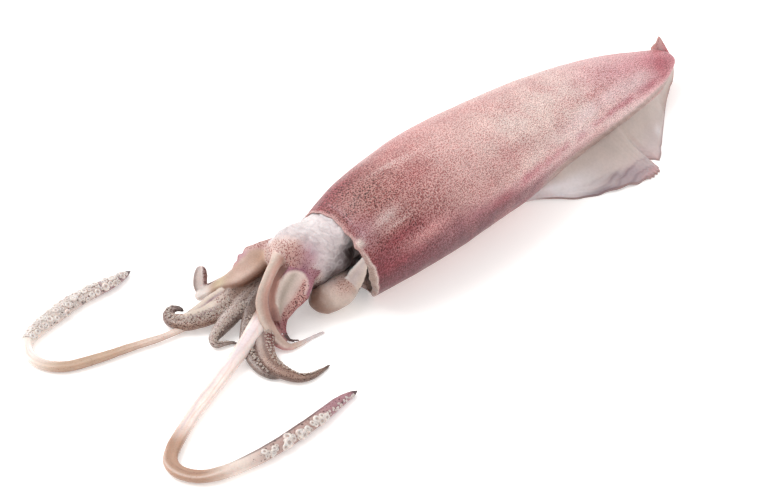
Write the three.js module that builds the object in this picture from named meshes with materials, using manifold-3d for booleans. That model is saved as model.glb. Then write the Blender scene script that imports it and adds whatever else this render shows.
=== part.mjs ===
// A whole raw squid lying limp on a table, grown in one piece: a plump mantle
// with its two fins, the head with the near eye bulging under the skin, the
// funnel under the head, eight arms and two long feeding tentacles with clubs.
// Millimetres, +Z up, +X from the collar to the tail tip. The table is z = 0,
// and flesh that would sag below it lies flattened against it.
import * as THREE from 'three';
import { mergeVertices } from 'three/addons/utils/BufferGeometryUtils.js';
import Module from 'manifold-3d';

const wasm = await Module();
wasm.setup();

// Driving dimensions
const mantleLength = 222;
const mantleWidth = 55.6;
const mantleHeight = 50;
const finLength = 128;
const finReach = 41.5;
const headWidth = 24;
const funnelWidth = 16.6;
const armWidth = 7.6;
const stalkWidth = 4.6;
const clubWidth = 8.4;
const suckerWidth = 2;

// Small shared helpers
const { clamp, degToRad, lerp, smoothstep } = THREE.MathUtils;
const vec = (x, y, z) => new THREE.Vector3(x, y, z);
const share = (v) => clamp(v, 0, 1);
const bump = (v, centre, width) => Math.exp(-(((v - centre) / width) ** 2));
function angleBetween(a, b) {
  return Math.abs(Math.atan2(Math.sin(a - b), Math.cos(a - b)));
}

// A closed mesh becomes a solid that can be joined and cut.
function solidOf(geometry) {
  const bare = geometry.clone();
  bare.deleteAttribute('normal');
  bare.deleteAttribute('uv');
  const merged = mergeVertices(bare, 1e-4);
  return new wasm.Manifold(new wasm.Mesh({
    numProp: 3,
    vertProperties: new Float32Array(merged.attributes.position.array),
    triVerts: new Uint32Array(merged.index.array),
  }));
}

function geometryOf(solid) {
  const mesh = solid.getMesh();
  const geometry = new THREE.BufferGeometry();
  geometry.setAttribute('position', new THREE.BufferAttribute(mesh.vertProperties, 3));
  geometry.setIndex(new THREE.BufferAttribute(mesh.triVerts, 1));
  geometry.computeVertexNormals();
  return geometry;
}

// A cylinder whose every ring is moved by place(t, angle, fill): t runs along
// it, angle goes round it, and fill is 0 on its axis and 1 on its side.
function bentCylinder(sides, steps, place) {
  const geometry = new THREE.CylinderGeometry(1, 1, 1, sides, steps);
  const position = geometry.attributes.position;
  for (let i = 0; i < position.count; i += 1) {
    const x = position.getX(i);
    const z = position.getZ(i);
    const point = place(0.5 - position.getY(i), Math.atan2(z, x), Math.hypot(x, z));
    position.setXYZ(i, point.x, point.y, point.z);
  }
  return geometry;
}

// Mantle: fullest a quarter of the way back, narrower at the collar, and drawn
// out to a blunt tail. s is 0 at the collar and 1 at the tail tip.
const fullest = 0.25;
const collarTaper = 0.245;
const tailHeight = 10;
const pressedFlat = 1.3;
const mantleShift = 2;
function girth(s) {
  const front = 1 - collarTaper * Math.max((fullest - s) / fullest, 0) ** 2.1;
  const back = (1 - share((s - fullest) / (1 - fullest)) ** 1.45) ** 0.46;
  return front * back;
}
function axisHeight(s) {
  const resting = girth(s) * mantleHeight / 2 - pressedFlat;
  return (resting + tailHeight + Math.hypot(resting - tailHeight, 2)) / 2;
}
function onMantle(s, angle, inset = 0) {
  const size = girth(s);
  return vec(
    s * mantleLength,
    mantleShift + (size * mantleWidth / 2 - inset) * Math.cos(angle),
    axisHeight(s) + (size * mantleHeight / 2 - inset) * Math.sin(angle),
  );
}

// The free edge of the collar reaches forward on top and is cut back below.
const collarLobe = { angle: degToRad(122), reach: 3, width: 0.9 };
const collarCut = { angle: degToRad(265), depth: 10, width: 0.7 };
function collarEdge(angle) {
  return collarCut.depth * bump(angleBetween(angle, collarCut.angle), 0, collarCut.width)
    - collarLobe.reach * bump(angleBetween(angle, collarLobe.angle), 0, collarLobe.width);
}
function mantleSkin() {
  return bentCylinder(28, 27, (t, angle, fill) => {
    const s = t ** 1.15 * 0.999;
    const edge = collarEdge(angle) * (1 - smoothstep(s, 0, 0.3)) * fill;
    const axis = vec(s * mantleLength, mantleShift, axisHeight(s));
    return axis.lerp(onMantle(s, angle), fill).add(vec(edge, 0, 0));
  });
}

// The cavity is open at the collar round the neck and the funnel.
const mantleWall = 2.8;
const cavityDepth = 36;
function mantleCavity() {
  const front = -0.09;
  const depth = cavityDepth / mantleLength;
  return bentCylinder(20, 6, (t, angle, fill) => {
    const s = lerp(front, depth, t);
    const close = Math.sqrt(1 - 0.8 * share((t - 0.55) / 0.45) ** 2);
    const axis = vec(s * mantleLength, mantleShift, axisHeight(Math.max(s, 0)));
    const wall = onMantle(Math.max(s, 0), angle, mantleWall).setX(axis.x);
    return axis.lerp(wall, fill * close);
  });
}

// A sheet is a grid with a second face below it, split alike, and a rim.
// surface(u, v) gives a point, the way its upper face looks and its thickness.
function sheet(columns, rows, surface) {
  const grid = new THREE.PlaneGeometry(1, 1, columns, rows);
  const count = grid.attributes.position.count;
  const points = [];
  for (const half of [0.5, -0.5]) {
    for (let i = 0; i < count; i += 1) {
      const at = surface(grid.attributes.uv.getX(i), grid.attributes.uv.getY(i));
      points.push(at.point.addScaledVector(at.up, half * at.thickness));
    }
  }
  const faces = Array.from(grid.index.array);
  for (let i = faces.length - 3; i >= 0; i -= 3) {
    faces.push(faces[i] + count, faces[i + 2] + count, faces[i + 1] + count);
  }
  const wide = columns + 1;
  const rim = [];
  for (let c = 0; c < columns; c += 1) rim.push(c);
  for (let r = 0; r < rows; r += 1) rim.push(r * wide + columns);
  for (let c = columns; c > 0; c -= 1) rim.push(rows * wide + c);
  for (let r = rows; r > 0; r -= 1) rim.push(r * wide);
  rim.forEach((a, i) => {
    const b = rim[(i + 1) % rim.length];
    faces.push(a, b, b + count, a, b + count, a + count);
  });
  const geometry = new THREE.BufferGeometry().setFromPoints(points);
  geometry.setIndex(faces);
  return geometry;
}

// Fins: u runs from the front insertion to the tail tip, where the columns of
// the sheet are finer, and v from the root to the edge.
const finCorner = 0.5;
const finThickness = { root: 4.4, edge: 1.6 };
const finSunk = 3;
const finStart = 1 - finLength / mantleLength;
const finEnd = { near: 0.982, far: 1.002 };
const alongFin = (column) => 1 - (1 - column) ** 1.35;
function finWidth(u, rootReach) {
  const spread = Math.sin(Math.PI / 2 * Math.min(u / finCorner, 1)) ** 1.3;
  const edge = lerp(rootReach, finReach, spread) * Math.min((1 - u) / (1 - finCorner), 1);
  return Math.max(edge - rootReach, 0.4);
}
function finThick(u, v) {
  return lerp(finThickness.root, finThickness.edge, Math.sqrt(v)) * (1 - 0.5 * u ** 6);
}

// The near fin lies spread on the table, its front edge a little lifted.
function nearFin() {
  return sheet(26, 7, (column, inward) => {
    const u = alongFin(column);
    const v = 1 - inward;
    const s = lerp(finStart, finEnd.near, u);
    const root = onMantle(s, degToRad(lerp(217, 190, u * u)), finSunk * (1 - u * 0.6));
    const width = finWidth(u, -root.y);
    const thickness = finThick(u, v);
    const floor = thickness / 2 - 0.15;
    const fall = Math.min(Math.max(root.z - floor, 0), width * 0.55);
    const lift = 1.6 * bump(u, 0.13, 0.07) + 0.7 * bump(u, 0.33, 0.05);
    const height = root.z - fall * (1 - (1 - v) ** 1.7) + lift * v * v;
    return { point: vec(root.x, root.y - width * v, height), up: vec(0, 0, 1), thickness };
  });
}

// The far fin hangs down the far side, and its hind end is flipped up in a peak.
const farSlope = degToRad(-54);
const flip = { at: 0.946, before: 0.017, after: 0.06, turn: degToRad(140), height: 7.8, lean: 1.8 };
function farFin() {
  return sheet(26, 6, (column, v) => {
    const u = alongFin(column);
    const s = lerp(finStart, finEnd.far, u);
    const root = onMantle(s, degToRad(lerp(42, 50, u)), finSunk * (1 - u * 0.6));
    const flipped = bump(u, flip.at, u < flip.at ? flip.before : flip.after);
    const slope = farSlope + flip.turn * flipped;
    const width = (finWidth(u, root.y) + flip.height * flipped) * v;
    const wave = 1.2 * Math.sin(u * 15) * v * v * (1 - flipped);
    const point = root.add(vec(0, Math.cos(slope), Math.sin(slope)).multiplyScalar(width));
    point.add(vec(flip.lean * flipped * v, 0, wave));
    return { point, up: vec(0, -Math.sin(slope), Math.cos(slope)), thickness: finThick(u, v) };
  });
}

// A small tear in the hind edge of the near fin, beside its corner
const finTear = { x: 160, y: -39, width: 4.5, depth: 5, heading: degToRad(148) };
function tearCut() {
  const shape = new THREE.Shape()
    .moveTo(-4, -finTear.width)
    .lineTo(finTear.depth, 0)
    .lineTo(-4, finTear.width * 0.5)
    .closePath();
  return new THREE.ExtrudeGeometry(shape, { depth: 12, bevelEnabled: false })
    .rotateZ(finTear.heading)
    .translate(finTear.x, finTear.y, -4);
}

// A limb follows a route of points. Its section is an ellipse: width across the
// way that its upper face looks, and thickness along that way. `face` holds that
// way at the start and at the end, and `size` the half sizes at t.
function curveOf(route) {
  const curve = new THREE.CatmullRomCurve3(route.map((p) => vec(...p)), false, 'catmullrom', 0.5);
  curve.arcLengthDivisions = 400;
  return curve;
}
function limb({ route, face, size, sides, steps }) {
  const curve = curveOf(route);
  return bentCylinder(sides, steps, (t, angle, fill) => {
    const along = curve.getTangentAt(t);
    const up = vec(...face[0]).lerp(vec(...face[1]), t);
    const side = vec(0, 0, 0).crossVectors(up, along).normalize();
    up.crossVectors(along, side).normalize();
    const [half, thick] = size(t);
    return curve.getPointAt(t)
      .addScaledVector(side, half * fill * Math.cos(angle))
      .addScaledVector(up, thick * fill * Math.sin(angle));
  });
}
const roundEnd = (t, length) => Math.sqrt(Math.max(1 - share((t - 1 + length) / length) ** 2, 0.02));

// Head: the neck comes out of the cavity, turned to the far side, and the head
// ends in the crown that the arms grow from.
const headRoute = [[34, 2, 20], [18, 6, 21], [4, 11, 22], [-8, 14, 22], [-18, 18, 21.5], [-23, 21, 20]];
const headSize = (t) => {
  const half = headWidth / 2 * (0.86 + 0.16 * bump(t, 0.55, 0.22)) * roundEnd(t, 0.2);
  return [half, half * 0.96];
};
const head = () => limb({
  route: headRoute, face: [[0, 0, 1], [0, 0, 1]], size: headSize, sides: 18, steps: 12,
});
const eyes = [
  { at: [-3.6, 4.2, 20.6], radius: 9 },
  { at: [4, 17, 24], radius: 8 },
];
const eye = ({ at, radius }) => new THREE.SphereGeometry(radius, 16, 10).translate(...at);

// Funnel: a soft tube under the head with a swollen, rounded mouth end
const funnelRoute = [[28, 2, 17], [18, 0, 16.5], [9, -2, 14.2], [1, -2, 10.6], [-7, -1.6, 7.9], [-16, 0, 6.4]];
const funnel = () => limb({
  route: funnelRoute,
  face: [[0, 0, 1], [0, 0, 1]],
  size: (t) => {
    const half = funnelWidth / 2 * lerp(0.72, 1.05, smoothstep(t, 0.35, 0.8)) * roundEnd(t, 0.22);
    return [half, half * 0.92];
  },
  sides: 16,
  steps: 12,
});

// Arms, in order round the mouth. Width and thickness are in millimetres at the
// root. An arm keeps its width for the `hold` share of its length, then thins
// towards the tip, early when `fade` is small.
const up = [0, 0, 1];
const toViewer = [-0.5, -0.5, 0.7];
const arms = [
  {
    name: 'far upper arm',
    route: [[-10, 18, 21], [-19, 20.6, 22], [-25, 23.8, 20.4], [-29, 27.6, 16.8], [-32.4, 31.4, 12.6],
      [-36, 35.2, 9], [-40.4, 38.6, 6.4], [-45.6, 40.2, 4.3], [-53, 39.5, 2.2]],
    face: [toViewer, up],
    width: armWidth * 1.75,
    thickness: 6,
    hold: 0.46,
    fade: 1,
  },
  {
    name: 'far hidden arm',
    route: [[-9, 20, 20], [-15, 30, 15.5], [-20.5, 37, 11], [-25.5, 41.5, 7], [-31, 45, 4.6],
      [-36, 46.6, 4.2], [-38.4, 46.4, 7], [-36.6, 44.6, 10.6], [-32.6, 45, 12]],
    face: [up, [1, -0.6, 0.4]],
    width: armWidth,
    thickness: 5.4,
    hold: 0.6,
    fade: 1.2,
  },
  {
    name: 'curled far arm',
    route: [[-12, 19, 17], [-25.5, 21.7, 13], [-34.5, 23.8, 10], [-42.5, 24.8, 7.6], [-49, 27, 5.2],
      [-55, 29.5, 3.8], [-59.5, 33.5, 3.1], [-60, 39, 2.6], [-57, 43, 2], [-52.5, 41.5, 1.5]],
    face: [toViewer, up],
    width: armWidth,
    thickness: 6.4,
    hold: 0.6,
    fade: 1.5,
  },
  {
    name: 'short hooked arm',
    route: [[-11, 19, 15.5], [-26.5, 20, 12], [-36, 19.8, 9.4], [-44, 19.3, 7], [-51, 19.2, 4.8],
      [-57, 17.8, 3.4], [-58.2, 14, 2.4], [-52, 9.3, 1.3]],
    face: [toViewer, up],
    width: armWidth * 1.08,
    thickness: 6.4,
    hold: 0.55,
    fade: 1.2,
  },
  {
    name: 'lower middle arm',
    route: [[-11, 19, 15], [-25.8, 17.5, 12], [-35, 15.6, 9], [-41.5, 13, 6.6], [-47, 9, 4.4],
      [-52.5, 2.5, 3.2], [-56.6, -4, 2.9], [-59.2, -10.5, 2.3], [-59, -15.5, 1.6]],
    face: [toViewer, up],
    width: armWidth * 1.15,
    thickness: 6,
    hold: 0.6,
    fade: 1.6,
  },
  {
    name: 'long upper arm',
    route: [[-14, 13.5, 24], [-24.7, 12.2, 26], [-33.6, 8.8, 26], [-40, 5.6, 23.5], [-43.8, 2.8, 19],
      [-44.8, 0, 14.5], [-44.3, -3.6, 10], [-43, -7, 6], [-40.5, -9.8, 3.4], [-32, -10.6, 1.9], [-22.6, -10.5, 1.1]],
    face: [toViewer, [-0.4, -0.4, 0.8]],
    width: armWidth * 0.98,
    thickness: 4.6,
    hold: 0.36,
    fade: 1.1,
  },
  {
    name: 'near outer arm',
    route: [[-10, 11.5, 20], [-20.4, 6.2, 20], [-25.5, 4.4, 18], [-29.4, 3.6, 15], [-32.8, 2.6, 11.6],
      [-36, 1, 8], [-38, -2.6, 4.4], [-37.4, -6.6, 2], [-31.5, -6.2, 1.2]],
    face: [toViewer, toViewer],
    width: armWidth * 1.75,
    thickness: 6,
    hold: 0.24,
    fade: 0.65,
  },
  {
    name: 'near lower arm',
    route: [[-10, 17, 15], [-23, 11.5, 13], [-34, 6, 11.5], [-43, 1, 9.4], [-48.8, -3.4, 7],
      [-52.8, -7.6, 5], [-55.9, -13.5, 3.8], [-55, -20, 3], [-50.9, -25, 2.3], [-44, -26.5, 1.7], [-37.1, -26, 1]],
    face: [toViewer, up],
    width: armWidth * 1.05,
    thickness: 6.2,
    hold: 0.45,
    fade: 1.2,
  },
];
const arm = ({ route, face, width, thickness, hold, fade }) => limb({
  route,
  face,
  size: (t) => {
    const thin = 1 - 0.9 * share((t - hold) / (1 - hold)) ** fade;
    const end = roundEnd(t, 0.04);
    return [width / 2 * thin * end, thickness / 2 * lerp(thin, 1, 0.1) * end];
  },
  sides: 9,
  steps: 17,
});

// Tentacles: a thin stalk, then a club that is widest in its middle. The club
// carries suckers in staggered rows.
const tentacles = [
  {
    name: 'far tentacle',
    route: [[-14, 22, 15], [-22, 28.5, 8.5], [-33, 30, 4.6], [-45.6, 30.7, 3.1], [-57, 31.7, 2.4],
      [-69, 34, 2.3], [-82, 38.6, 2.3], [-96, 43.4, 2.3], [-107.4, 48.6, 2.3], [-113, 56.2, 2.3],
      [-112.8, 64.6, 2.3], [-108, 71.4, 2.3], [-99, 74.8, 2.4], [-88, 76.5, 2.4], [-77, 77.5, 2.4],
      [-67, 76.6, 2.4], [-57, 75.6, 2.2], [-47.3, 76.5, 1.4]],
    clubStart: 0.66,
    stalk: 1,
    club: 1,
  },
  {
    name: 'near tentacle',
    route: [[-16, 16, 18], [-28, 10.6, 16], [-38, 6, 14.4], [-47, 2.6, 12.4], [-57.2, -1.4, 8.6],
      [-68, -4.4, 4.6], [-84, -8, 2.9], [-103, -13.2, 2.6], [-114.6, -17.8, 2.6], [-121.4, -23, 2.6],
      [-123, -30, 2.6], [-119.6, -37, 2.6], [-112, -41.8, 2.6], [-100, -45, 2.6], [-88, -46.4, 2.6],
      [-76, -46.8, 2.6], [-64, -46.6, 2.6], [-53, -45.6, 2.2], [-43, -45.6, 1.4]],
    clubStart: 0.66,
    stalk: 1.25,
    club: 0.8,
  },
];
function tentacleSize({ clubStart, stalk, club }, t) {
  const onClub = share((t - clubStart) / (1 - clubStart));
  const swell = smoothstep(onClub, 0, 0.3) * (1 - 0.75 * onClub ** 2.5);
  const half = lerp(stalkWidth * stalk, clubWidth * club, swell) / 2;
  const tip = onClub > 0 ? Math.sqrt(Math.max(1 - onClub ** 6, 0.03)) : 1;
  return [half * tip, Math.min(half, stalkWidth * 0.52) * tip];
}
const tentacle = (one) => limb({
  route: one.route, face: [up, up], size: (t) => tentacleSize(one, t), sides: 8, steps: 44,
});

const suckerPairs = 9;
function suckers(one) {
  const curve = curveOf(one.route);
  return Array.from({ length: 2 * suckerPairs }, (_, i) => {
    const t = lerp(one.clubStart, 1, 0.16 + 0.66 * i / (2 * suckerPairs));
    const [half, thick] = tentacleSize(one, t);
    const side = vec(0, 0, 1).cross(curve.getTangentAt(t)).normalize();
    const row = i % 2 ? 0.36 : -0.36;
    const place = curve.getPointAt(t).addScaledVector(side, half * row);
    const radius = suckerWidth / 2;
    return new THREE.CylinderGeometry(radius * 0.8, radius, 1.4, 7, 1)
      .rotateX(Math.PI / 2)
      .translate(place.x, place.y, place.z + thick * Math.sqrt(1 - row * row));
  });
}

// The whole animal is joined into one solid and laid on the table.
const cavity = solidOf(mantleCavity());
const outside = [
  mantleSkin(),
  nearFin(),
  farFin(),
].map(solidOf).reduce((all, one) => all.add(one)).subtract(solidOf(tearCut()));
const inside = [
  head(),
  ...eyes.map(eye),
  funnel(),
  ...arms.map(arm),
  ...tentacles.map(tentacle),
  ...tentacles.flatMap(suckers),
].map(solidOf).reduce((all, one) => all.add(one));

const roomSize = 1000;
const aboveTable = solidOf(new THREE.BoxGeometry(roomSize, roomSize, roomSize)
  .translate(0, 0, roomSize / 2));
const animal = outside.subtract(cavity).add(inside).intersect(aboveTable);
const whole = animal.decompose().reduce((best, one) => (one.volume() > best.volume() ? one : best));

// The origin is the middle of the footprint.
const squid = new THREE.Mesh(geometryOf(whole), new THREE.MeshStandardMaterial({
  color: '#c99490',
  roughness: 0.38,
  metalness: 0,
}));
squid.name = 'squid';
const box = new THREE.Box3().setFromObject(squid);
const middle = box.getCenter(vec(0, 0, 0));
squid.position.set(-middle.x, -middle.y, -box.min.z);

const group = new THREE.Group();
group.add(squid);

export default group;
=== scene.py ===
import math

import bpy
import numpy as np
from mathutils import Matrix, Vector, noise
from mathutils.bvhtree import BVHTree


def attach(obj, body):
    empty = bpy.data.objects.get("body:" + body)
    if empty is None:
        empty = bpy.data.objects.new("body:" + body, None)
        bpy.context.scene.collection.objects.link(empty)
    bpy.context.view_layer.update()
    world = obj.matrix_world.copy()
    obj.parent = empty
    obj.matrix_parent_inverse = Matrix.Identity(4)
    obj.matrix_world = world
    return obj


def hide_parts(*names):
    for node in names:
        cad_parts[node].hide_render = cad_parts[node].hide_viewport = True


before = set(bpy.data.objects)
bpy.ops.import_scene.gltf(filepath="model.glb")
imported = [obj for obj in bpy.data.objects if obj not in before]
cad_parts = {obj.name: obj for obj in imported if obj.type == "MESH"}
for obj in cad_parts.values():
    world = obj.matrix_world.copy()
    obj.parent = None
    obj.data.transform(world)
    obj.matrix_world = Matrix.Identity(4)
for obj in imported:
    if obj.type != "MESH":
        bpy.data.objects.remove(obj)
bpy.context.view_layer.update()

# Every shape is drawn in millimetres from the middle of the collar. +X points to the tail tip, and the table
# is at z = 0.
mm = 0.001
collarCentre = (-48.807, -15.656, 0.0)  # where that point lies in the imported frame
up = [0, 0, 1]
toViewer = [-0.5, -0.5, 0.7]


def share(v):
    return np.clip(v, 0.0, 1.0)


def bump(v, centre, width):  # 1 at the centre, fading to both sides
    return np.exp(-(((v - centre) / width) ** 2))


def ramp(v, low, high):  # 0 up to low, 1 from high
    w = share((v - low) / (high - low))
    return w * w * (3 - 2 * w)


def fade(v, low, high):  # 1 up to low, 0 from high
    return 1 - ramp(v, low, high)


def mix(a, b, w):
    return a + (b - a) * w


def linearColour(code):  # sRGB hex to linear
    parts = [int(code[i : i + 2], 16) / 255 for i in (1, 3, 5)]
    return [p / 12.92 if p <= 0.04045 else ((p + 0.055) / 1.055) ** 2.4 for p in parts]


def radians(v):
    return np.asarray(v, float) * math.pi / 180


def grain(points, size, seed=0.0):  # smooth noise from -1 to 1, with lumps of that size in mm
    return np.array([noise.noise(Vector((p[0] / size + seed, p[1] / size, p[2] / size))) for p in points])


# A part is its points in mm, its faces and its paint. The paint holds linear red, green and blue, then how
# densely fine spots lie there, how many large freckles, and how wrinkled the skin is.
channels = {"spots": 3, "freckles": 4, "wrinkles": 5}


def paintOf(count, colour, **levels):
    paint = np.zeros((count, 3 + len(channels)))
    paint[:, :3] = linearColour(colour)
    for key, value in levels.items():
        paint[:, channels[key]] = value
    return paint


def dab(paint, weight, colour, **levels):  # lays one field over the paint, as strongly as its weight
    w = share(np.asarray(weight, float)).reshape(-1)
    colour = linearColour(colour) if isinstance(colour, str) else colour
    paint[:, :3] = mix(paint[:, :3], np.array(colour), w[:, None])
    for key, value in levels.items():
        if value is not None:
            paint[:, channels[key]] = mix(paint[:, channels[key]], value, w)


def tubeFaces(rings, sides):
    faces = []
    for r in range(rings - 1):
        for k in range(sides):
            n = (k + 1) % sides
            faces.append((r * sides + k, r * sides + n, (r + 1) * sides + n, (r + 1) * sides + k))
    first, last = rings * sides, rings * sides + 1
    for k in range(sides):
        n = (k + 1) % sides
        faces.append((first, n, k))
        faces.append((last, (rings - 1) * sides + k, (rings - 1) * sides + n))
    return faces


def tube(rings, paint):  # a closed skin through rings of points
    count, sides = rings.shape[:2]
    points = np.vstack([rings.reshape(-1, 3), rings[0].mean(0), rings[-1].mean(0)])
    paint = np.vstack([paint, paint[:sides].mean(0), paint[-sides:].mean(0)])
    return {"points": points, "faces": tubeFaces(count, sides), "paint": paint}


def joined(parts):
    points, faces, paint, start = [], [], [], 0
    for p in parts:
        points.append(p["points"])
        paint.append(p["paint"])
        faces += [tuple(i + start for i in f) for f in p["faces"]]
        start += len(p["points"])
    return {"points": np.vstack(points), "faces": faces, "paint": np.vstack(paint)}


def curveOf(route, divisions=400):  # a Catmull-Rom curve through the route, walked by its length
    stops = np.array(route, float)[:, :3]
    ends = np.vstack([2 * stops[0] - stops[1], stops, 2 * stops[-1] - stops[-2]])
    count = len(stops) - 1

    def at(u):
        u = np.clip(np.asarray(u, float), 0, 1) * count
        k = np.minimum(u.astype(int), count - 1)
        w = (u - k)[:, None]
        before, here, there, after = (ends[k + i] for i in range(4))
        leave, arrive = 0.5 * (there - before), 0.5 * (after - here)
        return ((2 * w**3 - 3 * w**2 + 1) * here + (w**3 - 2 * w**2 + w) * leave
                + (3 * w**2 - 2 * w**3) * there + (w**3 - w**2) * arrive)

    steps = np.linspace(0, 1, divisions + 1)
    lengths = np.concatenate([[0], np.cumsum(np.linalg.norm(np.diff(at(steps), axis=0), axis=1))])

    def walk(t):
        return at(np.interp(np.asarray(t, float) * lengths[-1], lengths, steps))

    return walk


def unit(v):
    return v / np.maximum(np.linalg.norm(v, axis=-1, keepdims=True), 1e-9)


def limbFrame(route, face, t):  # centre, way across and way that the face looks
    walk = curveOf(route)
    along = unit(walk(share(t + 0.002)) - walk(share(t - 0.002)))
    look = mix(np.array(face[0], float), np.array(face[1], float), t[:, None])
    across = unit(np.cross(look, along))
    return walk(t), across, np.cross(along, across)


def roundEnd(t, length):
    return np.sqrt(np.maximum(1 - share((t - 1 + length) / length) ** 2, 0.02))


def limbSize(route, thickest, rounded=0.03):  # half width and half thickness, from the width at every stop
    stops = np.array(route, float)
    walked = np.concatenate([[0], np.cumsum(np.linalg.norm(np.diff(stops[:, :3], axis=0), axis=1))])

    def size(t):
        width = np.interp(t, walked / walked[-1], stops[:, 3]) * roundEnd(t, rounded)
        return width / 2, np.minimum(thickest, 0.94 * width) / 2

    return size


def limbRings(route, face, size, rows, sides, dish=0.0):  # dish hollows the face between two raised rims
    t = np.linspace(0, 1, rows + 1)
    centre, across, look = limbFrame(route, face, t)
    angle = 2 * math.pi * np.arange(sides) / sides
    half, thick = size(t)
    rise = np.sin(angle)[None, :] * np.ones((len(t), 1))
    hollow = (dish(t) if callable(dish) else np.full(len(t), dish))[:, None]
    rise = np.where(rise > 0, rise - 1.15 * hollow * rise**3, rise)
    rings = (centre[:, None] + (half[:, None] * np.cos(angle))[..., None] * across[:, None]
             + (thick[:, None] * rise)[..., None] * look[:, None])
    return rings, np.repeat(t, sides), np.tile(angle, len(t))


# Mantle: the plump body, fullest a quarter of the way back, with a free collar round an open cavity.
# Angles are in degrees round it, 90 on its back and 180 on its near side.
mantle = {
    "length": 222, "width": 55.6, "height": 50, "shift": 2, "tailHeight": 10, "pressedFlat": 1.3,
    "fullest": 0.25, "collarTaper": 0.245, "wall": 2.8, "lip": 0.7, "cavityDepth": 36,
    "lobeAngle": 122, "lobeReach": 3, "lobeWidth": 0.9, "cutAngle": 265, "cutDepth": 10, "cutWidth": 0.7,
    "knobAngle": 127, "knobReach": 1.6, "knobWidth": 0.09,
    "thickAngle": 180, "thickWidth": 44, "thickLip": 6.0,
    "sides": 240, "rows": 300, "lipRows": 9, "cavityRows": 40,
}
# Skin colours along the back and along the low near side, each with its share of the mantle's length
backTones = [(0, "#ab736f"), (0.1, "#bd8883"), (0.25, "#e4bbb5"), (0.42, "#f1d3cb"), (0.6, "#f8e0d8"),
             (0.76, "#f3caca"), (0.92, "#e6a0a6"), (1, "#cc6e7b")]
lowTones = [(0, "#7d4148"), (0.14, "#965c63"), (0.27, "#ad747b"), (0.37, "#d0989c"), (0.47, "#ebc6c5"),
            (0.75, "#fde0de"), (0.93, "#f3b6ba"), (1, "#c9707c")]
skin = {
    "crimson": "#a14a54", "wine": "#964450", "maroon": "#83505a", "brown": "#b0857b", "red": "#c27f7d",
    "rose": "#c86f7f", "tail": "#c65c6e", "pink": "#dba19f", "pale": "#efd9d2", "paintedSheen": "#f9dddd",
    "grey": "#cdb3ae", "lilac": "#b0828a", "belly": "#d9b7b2", "beige": "#c0a69d", "groove": "#8d7068",
    "lip": "#c59c98", "brightLip": "#dccac2", "wallFlesh": "#a88e82", "inside": "#f6e6db",
    "wallShade": "#8a6a62", "deep": "#4a3733",
}
# Dabs of colour: strength, then the middle and reach along the mantle (share of its length) and round it
# (degrees), the colour, spots and freckles
collarDabs = [
    (0.9, 0.035, 0.085, 54, 19, "crimson", 1.1, 0.9),
    (0.6, 0.07, 0.05, 95, 20, "brown", 0.95, 1),
    (0.7, 0.02, 0.03, 121, 18, "lilac", 0.7, 0.2),
    (0.8, 0.02, 0.04, 162, 14, "wine", 1.2, 0.5),
    (0.75, 0.075, 0.06, 148, 7, "crimson", 1, 0.8),
    (0.7, 0.06, 0.05, 170, 8, "crimson", 1, 0.6),
    (0.95, 0.12, 0.055, 161, 8, "pink", 0.8, 0.2),
]
# On the back the pale dabs are painted highlights; the others are the skin's own colour
backDabs = [
    (0.6, 0.31, 0.05, 178, 8, "crimson", 0.9, None),
    (0.5, 0.23, 0.1, 50, 16, "pink", 0.8, None),
    (0.6, 0.166, 0.04, 108, 10, "red", 0.9, 0.4),
    (0.9, 0.07, 0.03, 124, 7, "grey", 0.55, 0.1),
    (0.5, 0.078, 0.028, 135, 2.2, "pale", 0.6, 0),
    (0.5, 0.37, 0.09, 143, 9, "pink", 1, None),
    (0.45, 0.3, 0.06, 157, 8, "red", 0.9, None),
    (0.5, 0.67, 0.08, 130, 7, "pink", 1, None),
    (0.4, 0.42, 0.14, 76, 9, "pink", 0.8, None),
    (0.6, 0.58, 0.05, 110, 14, "pale", 0.6, None),
    (0.6, 0.43, 0.05, 118, 12, "pale", 0.6, None),
]
# Near the tail the whitish dabs are painted highlights
tailDabs = [
    (0.8, 0.92, 0.05, 130, 26, "tail", 1, None),
    (0.6, 0.83, 0.05, 156, 10, "rose", 0.9, None),
    (0.55, 0.78, 0.07, 144, 9, "paintedSheen", 0.6, None),
    (0.42, 0.74, 0.12, 112, 18, "rose", 1, None),
    (0.5, 0.58, 0.06, 163, 6, "paintedSheen", 0.6, None),
]


def girth(s):
    front = 1 - mantle["collarTaper"] * np.maximum((mantle["fullest"] - s) / mantle["fullest"], 0) ** 2.1
    back = (1 - share((s - mantle["fullest"]) / (1 - mantle["fullest"])) ** 1.45) ** 0.46
    return front * back


def axisHeight(s):
    resting = girth(s) * mantle["height"] / 2 - mantle["pressedFlat"]
    return (resting + mantle["tailHeight"] + np.hypot(resting - mantle["tailHeight"], 2)) / 2


def onMantle(s, angle, inset=0.0, close=1.0):
    size = girth(s)
    y = mantle["shift"] + (size * mantle["width"] / 2 - inset) * np.cos(angle) * close
    z = axisHeight(s) + (size * mantle["height"] / 2 - inset) * np.sin(angle) * close
    return np.stack(np.broadcast_arrays(s * mantle["length"], y, z), -1)


def angleFrom(angle, degrees):
    gap = angle - math.radians(degrees)
    return np.abs(np.arctan2(np.sin(gap), np.cos(gap)))


def collarEdge(angle):  # how far behind its plain ring the collar ends, in mm
    cut = mantle["cutDepth"] * bump(angleFrom(angle, mantle["cutAngle"]), 0, mantle["cutWidth"])
    lobe = mantle["lobeReach"] * bump(angleFrom(angle, mantle["lobeAngle"]), 0, mantle["lobeWidth"])
    knob = mantle["knobReach"] * bump(angleFrom(angle, mantle["knobAngle"]), 0, mantle["knobWidth"])
    shoulder = 0.2 * bump(angleFrom(angle, 50), 0, 0.5)
    return cut - lobe - knob - shoulder + 0.3 * np.sin(9 * angle + 1) + 0.2 * np.sin(23 * angle)


def tones(s, stops):  # colours between named ones
    colours = np.array([linearColour(code) for _, code in stops])
    return np.stack([np.interp(s, [at for at, _ in stops], colours[:, k]) for k in range(3)], -1)


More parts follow.
